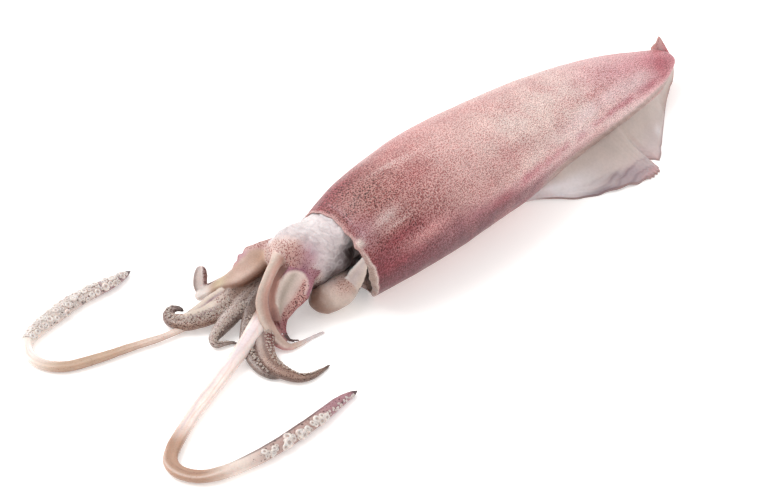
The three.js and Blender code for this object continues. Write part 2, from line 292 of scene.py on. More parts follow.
def layDabs(paint, s, degrees, dabs):
    for strength, at, reach, turn, spread, tone, spots, freckles in dabs:
        weight = strength * bump(s, at, reach) * bump(degrees, turn, spread)
        dab(paint, weight, skin[tone], spots=spots, freckles=freckles)


def ridgeOf(s, degrees, width):  # the low ridge behind the shoulder
    return bump(degrees, 82 + 120 * (s - 0.116), width) * bump(s, 0.155, 0.05)


def finRoot(u):  # degrees round the mantle at which the near fin begins
    return mix(217, 190, u * u)


def mantlePaint(s, degrees):
    cloud = np.sin(s * 61 + degrees * 0.11) * np.sin(s * 37 - degrees * 0.17 + 2)
    paint = paintOf(s.size, skin["pale"])
    front = fade(s, 0.1, 0.3)
    dab(paint, 1, tones(s, backTones))
    lowSide = ramp(degrees, mix(160, 138, front), mix(180, 172, front)) * fade(degrees, 315, 358)
    dab(paint, lowSide, tones(s, lowTones))
    paint[:, channels["spots"]] = 0.68 + 0.32 * front + 0.06 * cloud
    paint[:, channels["freckles"]] = 0.75 * front * (0.8 + 0.3 * cloud)
    # the shoulder over the collar, its brown middle and the wine-dark low edge
    layDabs(paint, s, degrees, collarDabs)
    low = ramp(degrees, 174, 188) * fade(degrees, 216, 228)
    dab(paint, 0.9 * bump(s, 0.28, 0.26) * low, skin["maroon"], spots=1.2, freckles=0.5)
    # ridge, streaks and clouds on the back; the pale laid along the ridge is a painted highlight
    dab(paint, 0.5 * ridgeOf(s, degrees, 4), skin["pale"], spots=0.6, freckles=0.1)
    layDabs(paint, s, degrees, backDabs)
    # a long whitish streak along the side: a painted highlight
    sheenStreak = bump(degrees, 150 - 60 * (s - 0.543), 8) * bump(s, 0.67, 0.17)
    dab(paint, 0.85 * sheenStreak, skin["paintedSheen"], spots=0.5)
    place = np.stack([s * mantle["length"], radians(degrees) * 24, 0 * s], -1)
    pinker = grain(place, 17, 5.1) + 0.6 * grain(place, 7, 2.9)
    behind = ramp(s, 0.1, 0.25)
    dab(paint, 0.34 * ramp(pinker, -0.1, 0.8) * behind, skin["pink"], spots=0.95)
    dab(paint, 0.22 * ramp(-pinker, 0.1, 0.9) * behind, skin["pale"], spots=0.75)
    farSide = ramp(degrees, 5, 35) * fade(degrees, 55, 118) * ramp(s, 0.1, 0.2)
    dab(paint, 0.36 * farSide, skin["red"], spots=0.95)
    # the broken red line over the fin's root, and the crimson tail
    broken = share(0.62 + 0.9 * grain(place, 7, 8.3))
    line = bump(degrees, 172 - 33 * (s - 0.37), 6) * ramp(s, 0.33, 0.4) * fade(s, 0.93, 0.98)
    dab(paint, 0.7 * line * broken, skin["rose"], spots=0.95)
    layDabs(paint, s, degrees, tailDabs)
    # the bare fold where the fin begins, and the belly
    u = share((s - fins["start"]) / (fins["nearEnd"] - fins["start"]))
    above = finRoot(u) - degrees
    bare = ramp(above, 3, 9) * fade(above, 19, 31) * ramp(s, 0.42, 0.5) * fade(s, 0.95, 0.99)
    dab(paint, 0.85 * bare, skin["beige"], spots=0.1, freckles=0)
    dab(paint, 0.6 * bare * ramp(np.sin(above * 1.9 + 1.2 * np.sin(s * 40)), 0.3, 1), skin["groove"])
    belly = ramp(degrees, 205, 235) * fade(degrees, 320, 350)
    dab(paint, 0.85 * belly, skin["belly"], spots=0.35, freckles=0)
    return paint


def swelling(s, degrees):  # how far the skin stands off the plain body, in mm
    shoulder = 3 * bump(degrees, 52, 38) * fade(s, 0, 0.2)
    besideFin = -2.1 * bump(degrees, 202, 30) * ramp(s, 0.4, 0.56) * (1 - 0.6 * ramp(s, 0.62, 0.9))
    tail = -2.2 * bump(degrees, 205, 32) * ramp(s, 0.9, 0.985)
    return shoulder + besideFin + tail


def mantleRows(cutFace):  # each row's share of the length, mm forward, mm under the skin and narrowing
    lip = mantle["lip"] * (1 + mantle["thickLip"] * cutFace)
    rows = [(s, 0.0, 0.0, 1.0) for s in np.linspace(1, 0, mantle["rows"]) ** 1.15 * 0.999]
    for a in np.linspace(0, math.pi, mantle["lipRows"])[1:-1]:
        rows.append((0.0, -mantle["lip"] / 2 * math.sin(a), lip / 2 * (1 - math.cos(a)), 1.0))
    for w in np.linspace(0, 1, mantle["cavityRows"]):
        inset = mix(lip, np.maximum(lip, mantle["wall"]), ramp(w, 0, 0.2))
        close = math.sqrt(1 - 0.8 * share((w - 0.55) / 0.45) ** 2)
        rows.append((w * mantle["cavityDepth"] / mantle["length"], 0.0, inset, close))
    return rows


def mantlePart():
    sides = mantle["sides"]
    angle = 2 * math.pi * (np.arange(sides) / sides) - math.pi / 2
    degrees = np.degrees(angle) % 360
    cutFace = bump(degrees, mantle["thickAngle"], mantle["thickWidth"])
    edge = collarEdge(angle)
    fold = bump(degrees, 100, 40)
    creases = 0.5 + 0.5 * np.sin(angle * 60 + 3 * np.sin(angle * 13))
    brightSide = ramp(degrees, 128, 150) * fade(degrees, 250, 270)
    rings, paint, flat = [], [], []
    for i, (s, forward, inset, close) in enumerate(mantleRows(cutFace)):
        spread = np.full(sides, s)
        ring = onMantle(spread, angle, inset, close)
        ring[:, 0] += forward + edge * fade(s, 0, 0.3)
        behind = ring[:, 0] - edge
        colour = mantlePaint(spread, degrees)
        out = swelling(spread, degrees)
        if i < mantle["rows"]:  # the outside, with a rolled edge and a knob at the collar
            out += (0.35 * bump(behind, 1, 1.2) - 0.45 * bump(behind, 3.6, 1.1)) * fold
            out += 0.9 * bump(behind, 1.2, 1.6) * bump(degrees, mantle["knobAngle"], 4)
            out += 0.4 * ridgeOf(s, degrees, 3)
            dab(colour, 0.5 * bump(behind, 3.6, 0.9) * fold, skin["lilac"])
            dab(colour, 0.7 * bump(behind, 0.1, 0.4), skin["lip"], spots=0.3, freckles=0)
            knob = bump(degrees, mantle["knobAngle"], 5) * bump(behind, 1, 2.4)
            dab(colour, 0.95 * knob, skin["brightLip"], spots=0, freckles=0)
        elif i < mantle["rows"] + mantle["lipRows"] - 2:  # the lip, thick and bare on the near side
            dab(colour, 1, skin["lip"], spots=0, freckles=0)
            dab(colour, cutFace, skin["wallFlesh"], wrinkles=0.4)
            # painted shade on the low part of the cut face
            dab(colour, 0.8 * cutFace * ramp(degrees, 178, 212), skin["wallShade"])
        else:  # the cavity's wall, painted pale as if lit, with painted shade in its folds, low down and where it is deep
            dab(colour, 1, skin["inside"], spots=0, freckles=0, wrinkles=0.5)
            dab(colour, 0.3 * creases, skin["wallShade"])
            dab(colour, 0.3 * ramp(degrees, 178, 205), skin["wallShade"])
            dab(colour, 0.9 * ramp(s, 0.05, 0.11), skin["deep"])
        dab(colour, 0.8 * bump(behind, 0, 0.26) * brightSide, skin["brightLip"], spots=0, freckles=0)
        ring[:, 1] += out * np.cos(angle)
        ring[:, 2] += out * np.sin(angle)
        rings.append(ring)
        paint.append(colour)
        around = (angle - math.pi / 2) * girth(spread) * mantle["width"] * 0.47
        flat.append(np.stack([ring[:, 0], around, 0 * around], -1))
    part = tube(np.array(rings), np.vstack(paint))
    part["flat"] = np.vstack([*flat, flat[0][:1], flat[-1][:1]])  # the skin unrolled, in mm, for its dots
    return part


# Fins: u runs from the front insertion to the tail tip, v from the root to the edge
fins = {
    "length": 128, "reach": 41.5, "corner": 0.5, "root": 4.4, "edge": 1.4, "sunk": 3,
    "nearEnd": 0.982, "farEnd": 1.002, "tearAt": 0.545, "tearWidth": 0.022, "tearDepth": 6.5, "farSlope": -54,
    "flipAt": 0.948, "flipBefore": 0.01, "flipTurn": 140, "flipHeight": 7.8, "flipLean": 1.8,
    "columns": 240, "nearRows": 80, "farRows": 50,
    "flesh": "#cdbcb4", "white": "#efeaec", "torn": "#a48f96", "tornDark": "#7d6a72", "rosy": "#c79a9c",
    "brown": "#93685c", "crease": "#a98680", "lilac": "#cdbabd", "greyEdge": "#c4b9bd",
    "edgeLine": "#8a716c", "peak": "#cba6a4",
}
fins["start"] = 1 - fins["length"] / mantle["length"]


def finWidth(u, rootReach):
    spread = np.sin(math.pi / 2 * np.minimum(u / fins["corner"], 1)) ** 1.3
    edge = mix(rootReach, fins["reach"], spread) * np.minimum((1 - u) / (1 - fins["corner"]), 1)
    return np.maximum(edge - rootReach, 0.4)


def finThick(u, v):
    return mix(fins["root"], fins["edge"], np.sqrt(v)) * (1 - 0.5 * u**6)


def sheet(columns, rows, surface, paintAt):  # a grid with a second face below it and a rim
    along = 1 - (1 - np.linspace(0, 1, columns + 1)) ** 1.35  # closer columns near the tail tip
    u, v = np.meshgrid(along, np.linspace(0, 1, rows + 1), indexing="ij")
    u, v = u.ravel(), v.ravel()
    middle, look, thick = surface(u, v)
    points = np.vstack([middle + look * thick[:, None] / 2, middle - look * thick[:, None] / 2])
    count, wide = len(u), rows + 1
    faces = []
    for c in range(columns):
        for r in range(rows):
            a, b = c * wide + r, (c + 1) * wide + r
            faces += [(a, b, b + 1, a + 1), (a + count, a + 1 + count, b + 1 + count, b + count)]
    rim = [c * wide for c in range(columns)] + [columns * wide + r for r in range(rows)]
    rim += [c * wide + rows for c in range(columns, 0, -1)] + list(range(rows, 0, -1))
    for a, b in zip(rim, rim[1:] + rim[:1]):
        faces.append((a, a + count, b + count, b))
    return {"points": points, "faces": faces, "paint": paintAt(np.tile(u, 2), np.tile(v, 2))}


def tornFolds(u, v):  # fine folds along the ragged front edge
    place = bump(u, 0.4, 0.12) * ramp(v, 0.55, 0.75)
    warp = 2.6 * grain(np.stack([u * fins["length"], v * fins["reach"], 0 * u], -1), 8, 2.2)
    return place, np.sin(v * 40 + 5 * np.sin(u * 17) + u * 16 + warp)


def nearFinSurface(u, v):
    s = mix(fins["start"], fins["nearEnd"], u)
    lowFront = 26 * fade(u, 0, 0.22)
    root = onMantle(s, radians(finRoot(u) + lowFront), fins["sunk"] * (1 - u * 0.3))
    width = finWidth(u, -root[:, 1])
    tear = fins["tearDepth"] * share(1 - np.abs(u - fins["tearAt"]) / fins["tearWidth"])
    ragged = 0.8 * bump(u, fins["corner"], 0.05) * np.sin(u * 330)
    ragged += 0.3 * np.sin(u * 90 + 1) * fade(u, 0.6, 0.7)
    width = np.maximum(width - tear - ragged + 1.7 * bump(u, 0.935, 0.06), 0.4)
    thick = finThick(u, v) * (1 - 0.45 * ramp(v, 0.85, 1))
    floor = thick / 2 - 0.15
    fall = np.minimum(np.maximum(root[:, 2] - floor, 0), width * 1.3)
    lift = 1.8 * bump(u, 0.11, 0.06) + 0.9 * bump(u, 0.33, 0.05)
    place, folds = tornFolds(u, v)
    height = root[:, 2] - fall * (1 - (1 - v) ** 1.7) + lift * v * v + place * (0.5 + 0.35 * folds)
    middle = np.stack([root[:, 0], root[:, 1] - width * v, height], -1)
    return middle, np.tile([0.0, 0.0, 1.0], (len(u), 1)), thick


def farFinSurface(u, v):
    s = mix(fins["start"], fins["farEnd"], u)
    root = onMantle(s, radians(mix(42, 50, u)), fins["sunk"] * (1 - u * 0.6))
    past = share((u - fins["flipAt"]) / (1 - fins["flipAt"]))
    flipped = np.where(u < fins["flipAt"], share(1 - (fins["flipAt"] - u) / (2.2 * fins["flipBefore"])), 1)
    slope = radians(fins["farSlope"] + fins["flipTurn"] * share(1.8 * flipped))
    reach = np.where(u < fins["flipAt"], flipped**1.4, (1 - past) ** 0.9) * fins["flipHeight"]
    width = (finWidth(u, root[:, 1]) * (1 - past) + reach) * v
    wave = 1.2 * np.sin(u * 15) * v * v * (1 - flipped)
    middle = root + np.stack([fins["flipLean"] * flipped * v * (1 - past), np.cos(slope) * width,
                              np.sin(slope) * width + wave], -1)
    return middle, np.stack([0 * u, -np.sin(slope), np.cos(slope)], -1), finThick(u, v)


def nearFinPaint(u, v):
    paint = paintOf(len(u), fins["flesh"], wrinkles=0.15)
    dab(paint, 0.5 * bump(u, 0.55, 0.2) * ramp(v, 0.3, 0.8), fins["lilac"], wrinkles=0.3)
    dab(paint, 0.95 * bump(u, 0.13, 0.18) * ramp(v, 0.15, 0.5), fins["white"])
    place, folds = tornFolds(u, v)
    dab(paint, 0.75 * place, fins["torn"], wrinkles=1)
    dab(paint, 0.6 * place * ramp(folds, 0.2, 1), fins["tornDark"])
    dab(paint, 0.7 * ramp(v, 0.82, 0.96) * bump(u, 0.5, 0.06), fins["rosy"], wrinkles=0.6, spots=0.4)
    dab(paint, 0.5 * ramp(v, 0.88, 1) * ramp(u, 0.56, 0.6), fins["torn"])
    dab(paint, 0.8 * ramp(v, 0.7, 1) * ramp(u, 0.8, 0.95), fins["brown"])
    dab(paint, 0.6 * fade(v, 0, 0.12), fins["crease"], spots=0.1)
    dab(paint, 0.5 * ramp(v, 0.8, 0.95) * bump(u, 0.15, 0.16), fins["greyEdge"])
    rimShade = mix(0.9, 0.55, ramp(u, 0.3, 0.45)) * ramp(v, 0.95, 0.985) * ramp(u, 0.06, 0.12)
    dab(paint, rimShade, fins["edgeLine"])
    dab(paint, 0.7 * bump(u, 0.27, 0.06) * ramp(v, 0.8, 0.95), fins["tornDark"], wrinkles=0.8)
    dab(paint, 0.5 * bump(u, 0.7, 0.03) * bump(v, 0.8, 0.15), fins["white"])
    return paint


def farFinPaint(u, v):
    paint = paintOf(len(u), skin["pink"], spots=0.6, freckles=0.05)
    dab(paint, 0.6 * ramp(v, 0.3, 1), fins["flesh"], spots=0.25)
    dab(paint, ramp(u, 0.85, 0.93), fins["peak"], spots=0.6, freckles=0.1)
    dab(paint, 0.7 * bump(u, 0.985, 0.02), skin["rose"], spots=0.6)
    dab(paint, 0.6 * ramp(v, 0.75, 1) * ramp(u, 0.85, 0.93), fins["crease"])
    return paint


# Head: the neck comes out of the cavity and ends in the crown that the arms grow from
head = {
    "route": [[34, 5, 20, 18], [18, 8.6, 21, 20], [6, 10.6, 22, 24], [-4, 11.4, 22, 26],
              [-12, 15, 22, 23.6], [-17, 17.8, 20.8, 21], [-23, 20.5, 19, 19]],
    "thickness": 30, "rows": 90, "sides": 72, "voxel": 0.5, "smoothing": 2, "melting": 60,
    "eyes": [((-2.6, 6.6, 21.4), 10.4), ((3, 16, 23.4), 9)], "throat": ((-11, 6.4, 14.4), 6.8),
    "ballRows": 33, "ballSides": 48,
    "membrane": "#d3c6c6", "grey": "#c3b6b9", "shadow": "#3a2722", "eyeAndShade": "#6f6163", "spotted": "#dfc3ba",
    "purple": "#a9748d", "magenta": "#94566f", "warm": "#b98a74", "white": "#f3eae8", "pinkish": "#dfc8cb",
    "pinkBrown": "#bf8a84", "grooves": "#a08f95", "crests": "#fbf6f5",
}
# Dabs on the head: strength, place and reach in mm, colour, and the spots, freckles and wrinkles there
neckDabs = [
    (0.6, (-4, 14, 33), 6, "white", None, None, 0.4),
    (0.75, (0, 1, 29), (6, 6, 5), "grey", None, None, 1),
    (0.6, (0.5, 9, 33), (3.6, 8, 5), "grey", None, None, 1),
    (0.5, (-7, 3, 28), 3.5, "pinkish", None, None, 0.6),
]
crownDabs = [
    (0.7, (-16.5, 11.5, 27), (4, 5, 5), "warm", 1, 0.5, None),
    (0.95, (-14.8, 6.4, 25.5), (4, 4.6, 5), "purple", 0.4, 0.2, None),
    (0.85, (-19, 9.5, 24), (5, 5, 6), "pinkBrown", 1, 0.9, None),
    (0.9, (-17.5, 6, 22), 2.6, "magenta", 0.4, None, None),
    (0.8, (-12, 1.6, 22.5), (3, 3, 4), "pinkish", 0.4, None, 0.8),
]
# the dark low side of the eye's bulge: the dark eye under the skin, and painted shade
crownDabs += [(0.85, place, 4.2, "eyeAndShade", None, None, 0.6) for place in (
    (-2.9, -3.5, 24.3), (-5.4, -3.4, 22), (-7.5, -1.9, 18.3))]
crownDabs += [(0.97, place, 3, "shadow", None, None, 0.2) for place in (
    (0.4, -3, 25), (-0.6, -3.8, 21.8), (-2.2, -3.8, 19), (-5, -2.6, 16), (-8.5, -0.9, 14.6), (-12, 0.6, 13.4),
    (-15.5, 1.6, 12.4), (-18.5, 2, 11.4))]


def near(points, at, reach):  # 1 at that place and fading over reach mm
    return np.exp(-(((points - np.array(at)) / reach) ** 2).sum(1))


def layPlaces(paint, points, dabs):
    for strength, place, reach, tone, spots, freckles, wrinkles in dabs:
        weight = strength * near(points, place, reach)
        dab(paint, weight, head[tone], spots=spots, freckles=freckles, wrinkles=wrinkles)


def headPaint(points):
    paint = paintOf(len(points), head["membrane"], wrinkles=0.6)
    layPlaces(paint, points, neckDabs)
    x, y, z = points.T
    toArms = 9 - x - 0.2 * (y - 10) - 0.1 * (z - 26) + 1.5 * grain(points, 3, 6.6)
    dab(paint, ramp(toArms, 22.5, 26.5), head["spotted"], spots=1, freckles=0.5, wrinkles=0)
    layPlaces(paint, points, crownDabs)
    dab(paint, 0.9 * ramp(14 - z, 0, 4), head["shadow"])
    return paint


def headPart():
    size = limbSize(head["route"], head["thickness"], 0.2)
    rings, _, _ = limbRings(head["route"], [up, up], size, head["rows"], head["sides"])
    flat = rings.reshape(-1, 3)
    # the neck's skin is stretched to the collar, but for the near low side where the hollow is
    turn = np.arctan2(flat[:, 2] - axisHeight(0.0), flat[:, 1] - mantle["shift"])
    degrees = (np.degrees(turn) + 90) % 360 - 90
    rim = onMantle(0 * turn, turn, 0.9 - swelling(0 * turn, degrees))
    held = ramp(flat[:, 0] - collarEdge(turn), -10, -1) * fade(flat[:, 0], 6, 14)
    held = held * ramp(degrees, -30, 0) * fade(degrees, 106, 121)
    flat[:, 1:] = mix(flat[:, 1:], rim[:, 1:], held[:, None])
    return tube(flat.reshape(rings.shape), headPaint(flat))


def ballPart(at, radius):  # an eye's bulge, or the ball that fills the gap under the head, whose low side is painted shade
    sides = head["ballSides"]
    lat = np.linspace(-math.pi / 2, math.pi / 2, head["ballRows"])[1:-1]
    angle = 2 * math.pi * np.arange(sides) / sides
    ball = np.stack([np.cos(lat)[:, None] * np.cos(angle), np.cos(lat)[:, None] * np.sin(angle),
                     np.sin(lat)[:, None] * np.ones(sides)], -1)
    rings = np.array(at) + radius * ball
    return tube(rings, headPaint(rings.reshape(-1, 3)))


# Funnel: a soft tube under the head with a swollen, rounded mouth end and a pale flap up to the collar
funnel = {
    "route": [[28, 6, 8, 7], [16, 4, 7.4, 7.6], [8, 1.5, 7.2, 8.4], [3, -0.5, 7.7, 10.4],
              [-1.8, -1.8, 8.4, 13], [-7, -2.2, 7.7, 14.8], [-13.4, -0.6, 7.1, 14.6],
              [-18.8, 2.2, 6.5, 13.4]],
    "flap": [[-2.4, -13.4, 27.4, 2.8], [-1.8, -11.2, 21.8, 5], [-2.4, -8.7, 16.2, 7.6], [-3.2, -7, 11.4, 8],
             [-3, -6.4, 7.2, 4.6]],
    "thickness": 12.6, "flapThickness": 1.5, "rows": 90, "sides": 60, "flapRows": 50, "flapSides": 30,
    "voxel": 0.5, "smoothing": 10,
    "cream": "#e0cdc0", "lilac": "#cdbebf", "brown": "#8a604c", "spotty": "#d6b1a5", "flapRim": "#f3ebe6",
}


def funnelPart():
    size = limbSize(funnel["route"], funnel["thickness"], 0.2)
    rings, t, angle = limbRings(funnel["route"], [up, up], size, funnel["rows"], funnel["sides"])
    degrees = np.degrees(angle)
    below = np.abs((degrees + 30 + 180) % 360 - 180)
    paint = paintOf(len(t), funnel["cream"], spots=0.1, wrinkles=0.2)
    dab(paint, fade(t, 0.5, 0.66), funnel["lilac"], spots=0, wrinkles=0.4)
    dab(paint, 0.6 * bump(t, 0.78, 0.1) * bump(degrees, 100, 30), funnel["lilac"])
    spotty = bump(t, 0.7, 0.14) * bump(degrees, 60, 50)
    dab(paint, 0.9 * spotty, funnel["spotty"], spots=0.95, freckles=0.9)
    # painted shade: darker brown at the mouth end, along the low side and under the head
    dab(paint, 0.85 * ramp(t, 0.8, 0.95), funnel["brown"], wrinkles=0.1)
    dab(paint, 0.7 * bump(below, 0, 30) * ramp(t, 0.66, 0.85), funnel["brown"], wrinkles=0.1)
    dab(paint, 0.7 * bump(degrees, 140, 26) * ramp(t, 0.5, 0.7), funnel["brown"])
    return tube(rings, paint)


def flapPart():  # a pale strip from the funnel up to the rim
    size = limbSize(funnel["flap"], funnel["flapThickness"], 0.05)
    rings, t, angle = limbRings(funnel["flap"], [toViewer, toViewer], size, funnel["flapRows"],
                                funnel["flapSides"], dish=0.5)
    side = np.cos(angle)
    paint = paintOf(len(t), funnel["cream"], wrinkles=0.1)
    dab(paint, 0.7 * bump(side, -0.1, 0.5), funnel["lilac"])
    dab(paint, 0.9 * ramp(-side, 0.5, 0.85), funnel["flapRim"])
    return tube(rings, paint)


# Arms, in order round the mouth, and the folds between them. A route's stops give x, y, z and the width.
# The face turns from its first way to its second, dish hollows it, and suckers gives their count and rows.
arms = [
    {"name": "farUpperArm", "thickness": 6, "dish": 0.45, "face": [toViewer, up], "look": "smooth",
     "fringe": 1.4,
     "route": [[-8, 18.6, 20, 10], [-14, 23, 20.6, 11], [-20.5, 25.4, 20.4, 11.4], [-28.2, 25.8, 18, 11],
               [-32.8, 28.2, 14.4, 9.6], [-35.8, 32.6, 10.4, 7.6], [-38.2, 37.2, 6.8, 6.2],
               [-40.8, 40.6, 4.3, 5], [-43.6, 42.2, 2.6, 3.6]]},
    {"name": "farHiddenArm", "thickness": 4.6, "dish": 0.6, "face": [up, toViewer], "look": "hidden",
     "route": [[-9, 20, 20, 7.6], [-14, 29, 13.4, 7], [-21.8, 38, 6, 6.4], [-27.6, 39.3, 4, 6],
               [-34.1, 40.9, 3.2, 5.6], [-37.8, 42.4, 3.4, 5.6], [-38.9, 43.7, 6, 6],
               [-38.1, 44.2, 10.4, 5.6], [-37.2, 44.3, 14.2, 3.4]]},
    {"name": "curledFarArm", "thickness": 6.4, "dish": 0.3, "face": [toViewer, up], "look": "curled",
     "suckers": (84, (-0.1, 0.12, 0.34, 0.56)),
     "route": [[-12, 19, 17, 8], [-26, 22.8, 13, 9], [-34, 24.6, 10.4, 9.8], [-41, 25.6, 7.6, 9.8],
               [-48.6, 27.4, 5.4, 9.2], [-54.6, 29.8, 4.6, 8.2], [-58.8, 33, 4.1, 7.6],
               [-60.6, 37.2, 3.7, 6.6], [-59.8, 40.6, 3.9, 5.2], [-57.4, 41.6, 5, 3.8],
               [-55.6, 39.6, 5.6, 2.8], [-54.6, 37, 4.8, 1.5]]},
    {"name": "shortHookedArm", "thickness": 6, "dish": 0.3, "face": [toViewer, up], "look": "gripping",
     "suckers": (60, (0.6, 0.3, 0.05)),
     "route": [[-11, 19, 15.5, 7.6], [-26.5, 20, 12, 7.4], [-34.6, 20, 9.2, 7.2], [-41.6, 19.8, 7, 7],
               [-48.2, 19.5, 5.2, 6.8], [-54, 18.5, 4, 5.6], [-58.1, 17.3, 3, 4], [-59.2, 14.7, 2.2, 3],
               [-56.3, 13.4, 1.7, 2.2], [-53.1, 12, 1.2, 1.6], [-51.7, 9.5, 0.8, 0.9]]},
    {"name": "lowerMiddleArm", "thickness": 5.6, "dish": 0.3, "face": [toViewer, up], "look": "shaded",
     "suckers": (54, (0.5, 0.2, -0.1)),
     "route": [[-11, 19, 15, 7.6], [-25.8, 17.8, 11.6, 7.2], [-35.8, 16.2, 8.4, 6.6], [-41.5, 13.4, 6.2, 6],
               [-46.1, 10.4, 4.6, 5.4], [-50.6, 6.4, 3.6, 5.4], [-54.6, 0.6, 3.1, 5.4],
               [-57.5, -5, 2.9, 5.2], [-59, -10.4, 2.5, 4.4], [-58.6, -14.9, 1.8, 2.8],
               [-57, -17.6, 1.1, 1.2]]},
    {"name": "longUpperArm", "thickness": 4.2, "dish": 0.7, "face": [toViewer, [-0.4, -0.4, 0.8]],
     "look": "keel",
     "route": [[-12, 17, 20, 8], [-19.5, 16.4, 23.4, 7], [-27.3, 12.2, 25.8, 4.8], [-34.1, 9.1, 25, 4.4],
               [-38.8, 7.5, 21.5, 4.8], [-40.7, 6.9, 16.5, 5.4], [-42, 4.5, 11.5, 5.4],
               [-42.5, 0.3, 7.4, 4.7], [-42.2, -3.9, 4.2, 3.9], [-40.8, -7.4, 2.1, 3],
               [-35.6, -8.5, 1.3, 2.3], [-28.9, -9.2, 1, 1.6], [-22.5, -10.4, 0.8, 0.9]]},
    {"name": "nearOuterArm", "thickness": 4.2, "dish": 0.75, "face": [toViewer, toViewer], "look": "leaf",
     "route": [[-10, 10.5, 20, 9], [-16.6, 6, 20.6, 11.4], [-22.9, 3.5, 19.4, 13.2],
               [-27.1, 2.9, 16.6, 13.6], [-30.2, 3, 13.4, 10.8], [-32.7, 2.6, 10, 7.2],
               [-34.7, 1.6, 7.2, 3.9], [-36.8, -1.2, 4.4, 2], [-37.7, -5, 2.4, 1.6], [-33.7, -6.7, 1, 1]]},
    {"name": "nearLowerArm", "thickness": 6.2, "dish": 0.3, "face": [toViewer, up], "look": "reddish",
     "suckers": (72, (0.8, 0.55, 0.3)),
     "route": [[-10, 17, 13, 7.6], [-23, 14, 9.6, 7.6], [-33, 10.4, 7.2, 8], [-39.6, 6.6, 5.9, 8.4],
               [-44.9, 2.3, 5.4, 8.6], [-49.4, -2.3, 5, 8.2], [-53.2, -7.6, 4.4, 7.4],
               [-55.1, -13, 3.7, 6.6], [-54.9, -18.7, 3.1, 5.6], [-52.8, -23.7, 2.3, 4],
               [-48.2, -26.3, 1.6, 2.9], [-42.1, -26.5, 1, 1.9], [-36.6, -26.1, 0.7, 0.9]]},
    {"name": "curledArmFold", "thickness": 2.4, "dish": 0.2, "face": [toViewer, up], "look": "band",
     "route": [[-35, 29.4, 11, 2.4], [-43.4, 32.4, 8, 3.6], [-48.8, 32.8, 6.6, 3.8], [-54, 33.8, 5.4, 3.4],
               [-57.4, 35.4, 4.4, 2.2]]},
    {"name": "grooveFold", "thickness": 2.6, "dish": 0.3, "face": [toViewer, toViewer], "look": "groove",
     "route": [[-18, 14, 21, 6], [-21.8, 12.9, 21.2, 6.4], [-28.8, 11.3, 19, 6.6], [-32.8, 9.4, 15, 6.2],
               [-36, 6.2, 11, 5.4], [-37.8, 2.8, 7.2, 4.4]]},
    {"name": "pinkWeb", "thickness": 1.8, "dish": 0.2, "face": [up, up], "look": "web",
     "route": [[-36, 7, 6.5, 4], [-40.3, 1.4, 4.2, 5.6], [-41.8, -3, 2.8, 6.4], [-41.2, -6.2, 1.7, 4.6],
               [-38.6, -7.6, 1.2, 2]]},
]


# Each look paints an arm by t along it and side: 1 on its right or lower edge, -1 on the other. tone holds
# the look's own colours.
def smoothLook(t, side, tone):  # bare beige flesh, shaded below, with a pink fringe
    paint = paintOf(len(t), tone["flesh"])
    dab(paint, 0.6 * bump(t, 0.33, 0.1) * bump(side, 0.2, 0.5), tone["tan"])
    dab(paint, 0.5 * bump(t, 0.5, 0.09) * bump(side, -0.3, 0.5), tone["pinkish"])
    dab(paint, 0.6 * bump(t, 0.74, 0.07), tone["olive"])
    dab(paint, 0.9 * ramp(side, 0.2, 0.85) * fade(t, 0.72, 0.88), tone["below"])
    dab(paint, 0.9 * ramp(-side, 0.7, 0.9) * bump(t, 0.42, 0.16), tone["fringe"], spots=0.5)
    dab(paint, ramp(t, 0.8, 0.9), tone["tip"])
    early = ramp(t, 0.1, 0.4)
    skinOn = ramp(-side, mix(-1.2, 0.75, early), mix(-0.8, 1.0, early))
    dab(paint, skinOn * fade(t, 0.32, 0.42), tone["skin"], spots=1, freckles=0.5)
    return paint


def hiddenLook(t, side, tone):  # a pale stripe between two spotted edges towards the tip
    shows = ramp(t, 0.6, 0.7)
    paint = paintOf(len(t), tone["flesh"], spots=0.4)
    dab(paint, shows, tone["stripe"], spots=0.1)
    dab(paint, 0.95 * shows * ramp(-side, 0.3, 0.5), tone["brown"], spots=1, freckles=0.9)
    dab(paint, 0.85 * shows * ramp(side, 0.45, 0.75), tone["grey"], spots=0.5)
    return paint


def keelLook(t, side, tone):  # a pale keel beside a pinkish channel
    paint = paintOf(len(t), tone["flesh"])
    channel = bump(side, 0.55, 0.4) * ramp(t, 0.1, 0.2) * fade(t, 0.55, 0.68)
    dab(paint, 0.85 * channel, tone["channel"], spots=0.2)
    dab(paint, 0.8 * bump(side, -0.55, 0.28), tone["keel"])
    dab(paint, 0.6 * bump(side, 0.0, 0.14) * bump(t, 0.45, 0.25), tone["centre"])
    dab(paint, 0.85 * ramp(side, 0.84, 0.97) * ramp(t, 0.3, 0.5), tone["rim"])
    dab(paint, 0.7 * bump(t, 0.74, 0.05) * ramp(-side, 0.3, 0.8), tone["rosy"])
    dab(paint, 0.7 * ramp(t, 0.8, 0.9), tone["tip"])
    dab(paint, fade(t, 0.06, 0.2), head["spotted"], spots=1, freckles=0.3)
    return paint


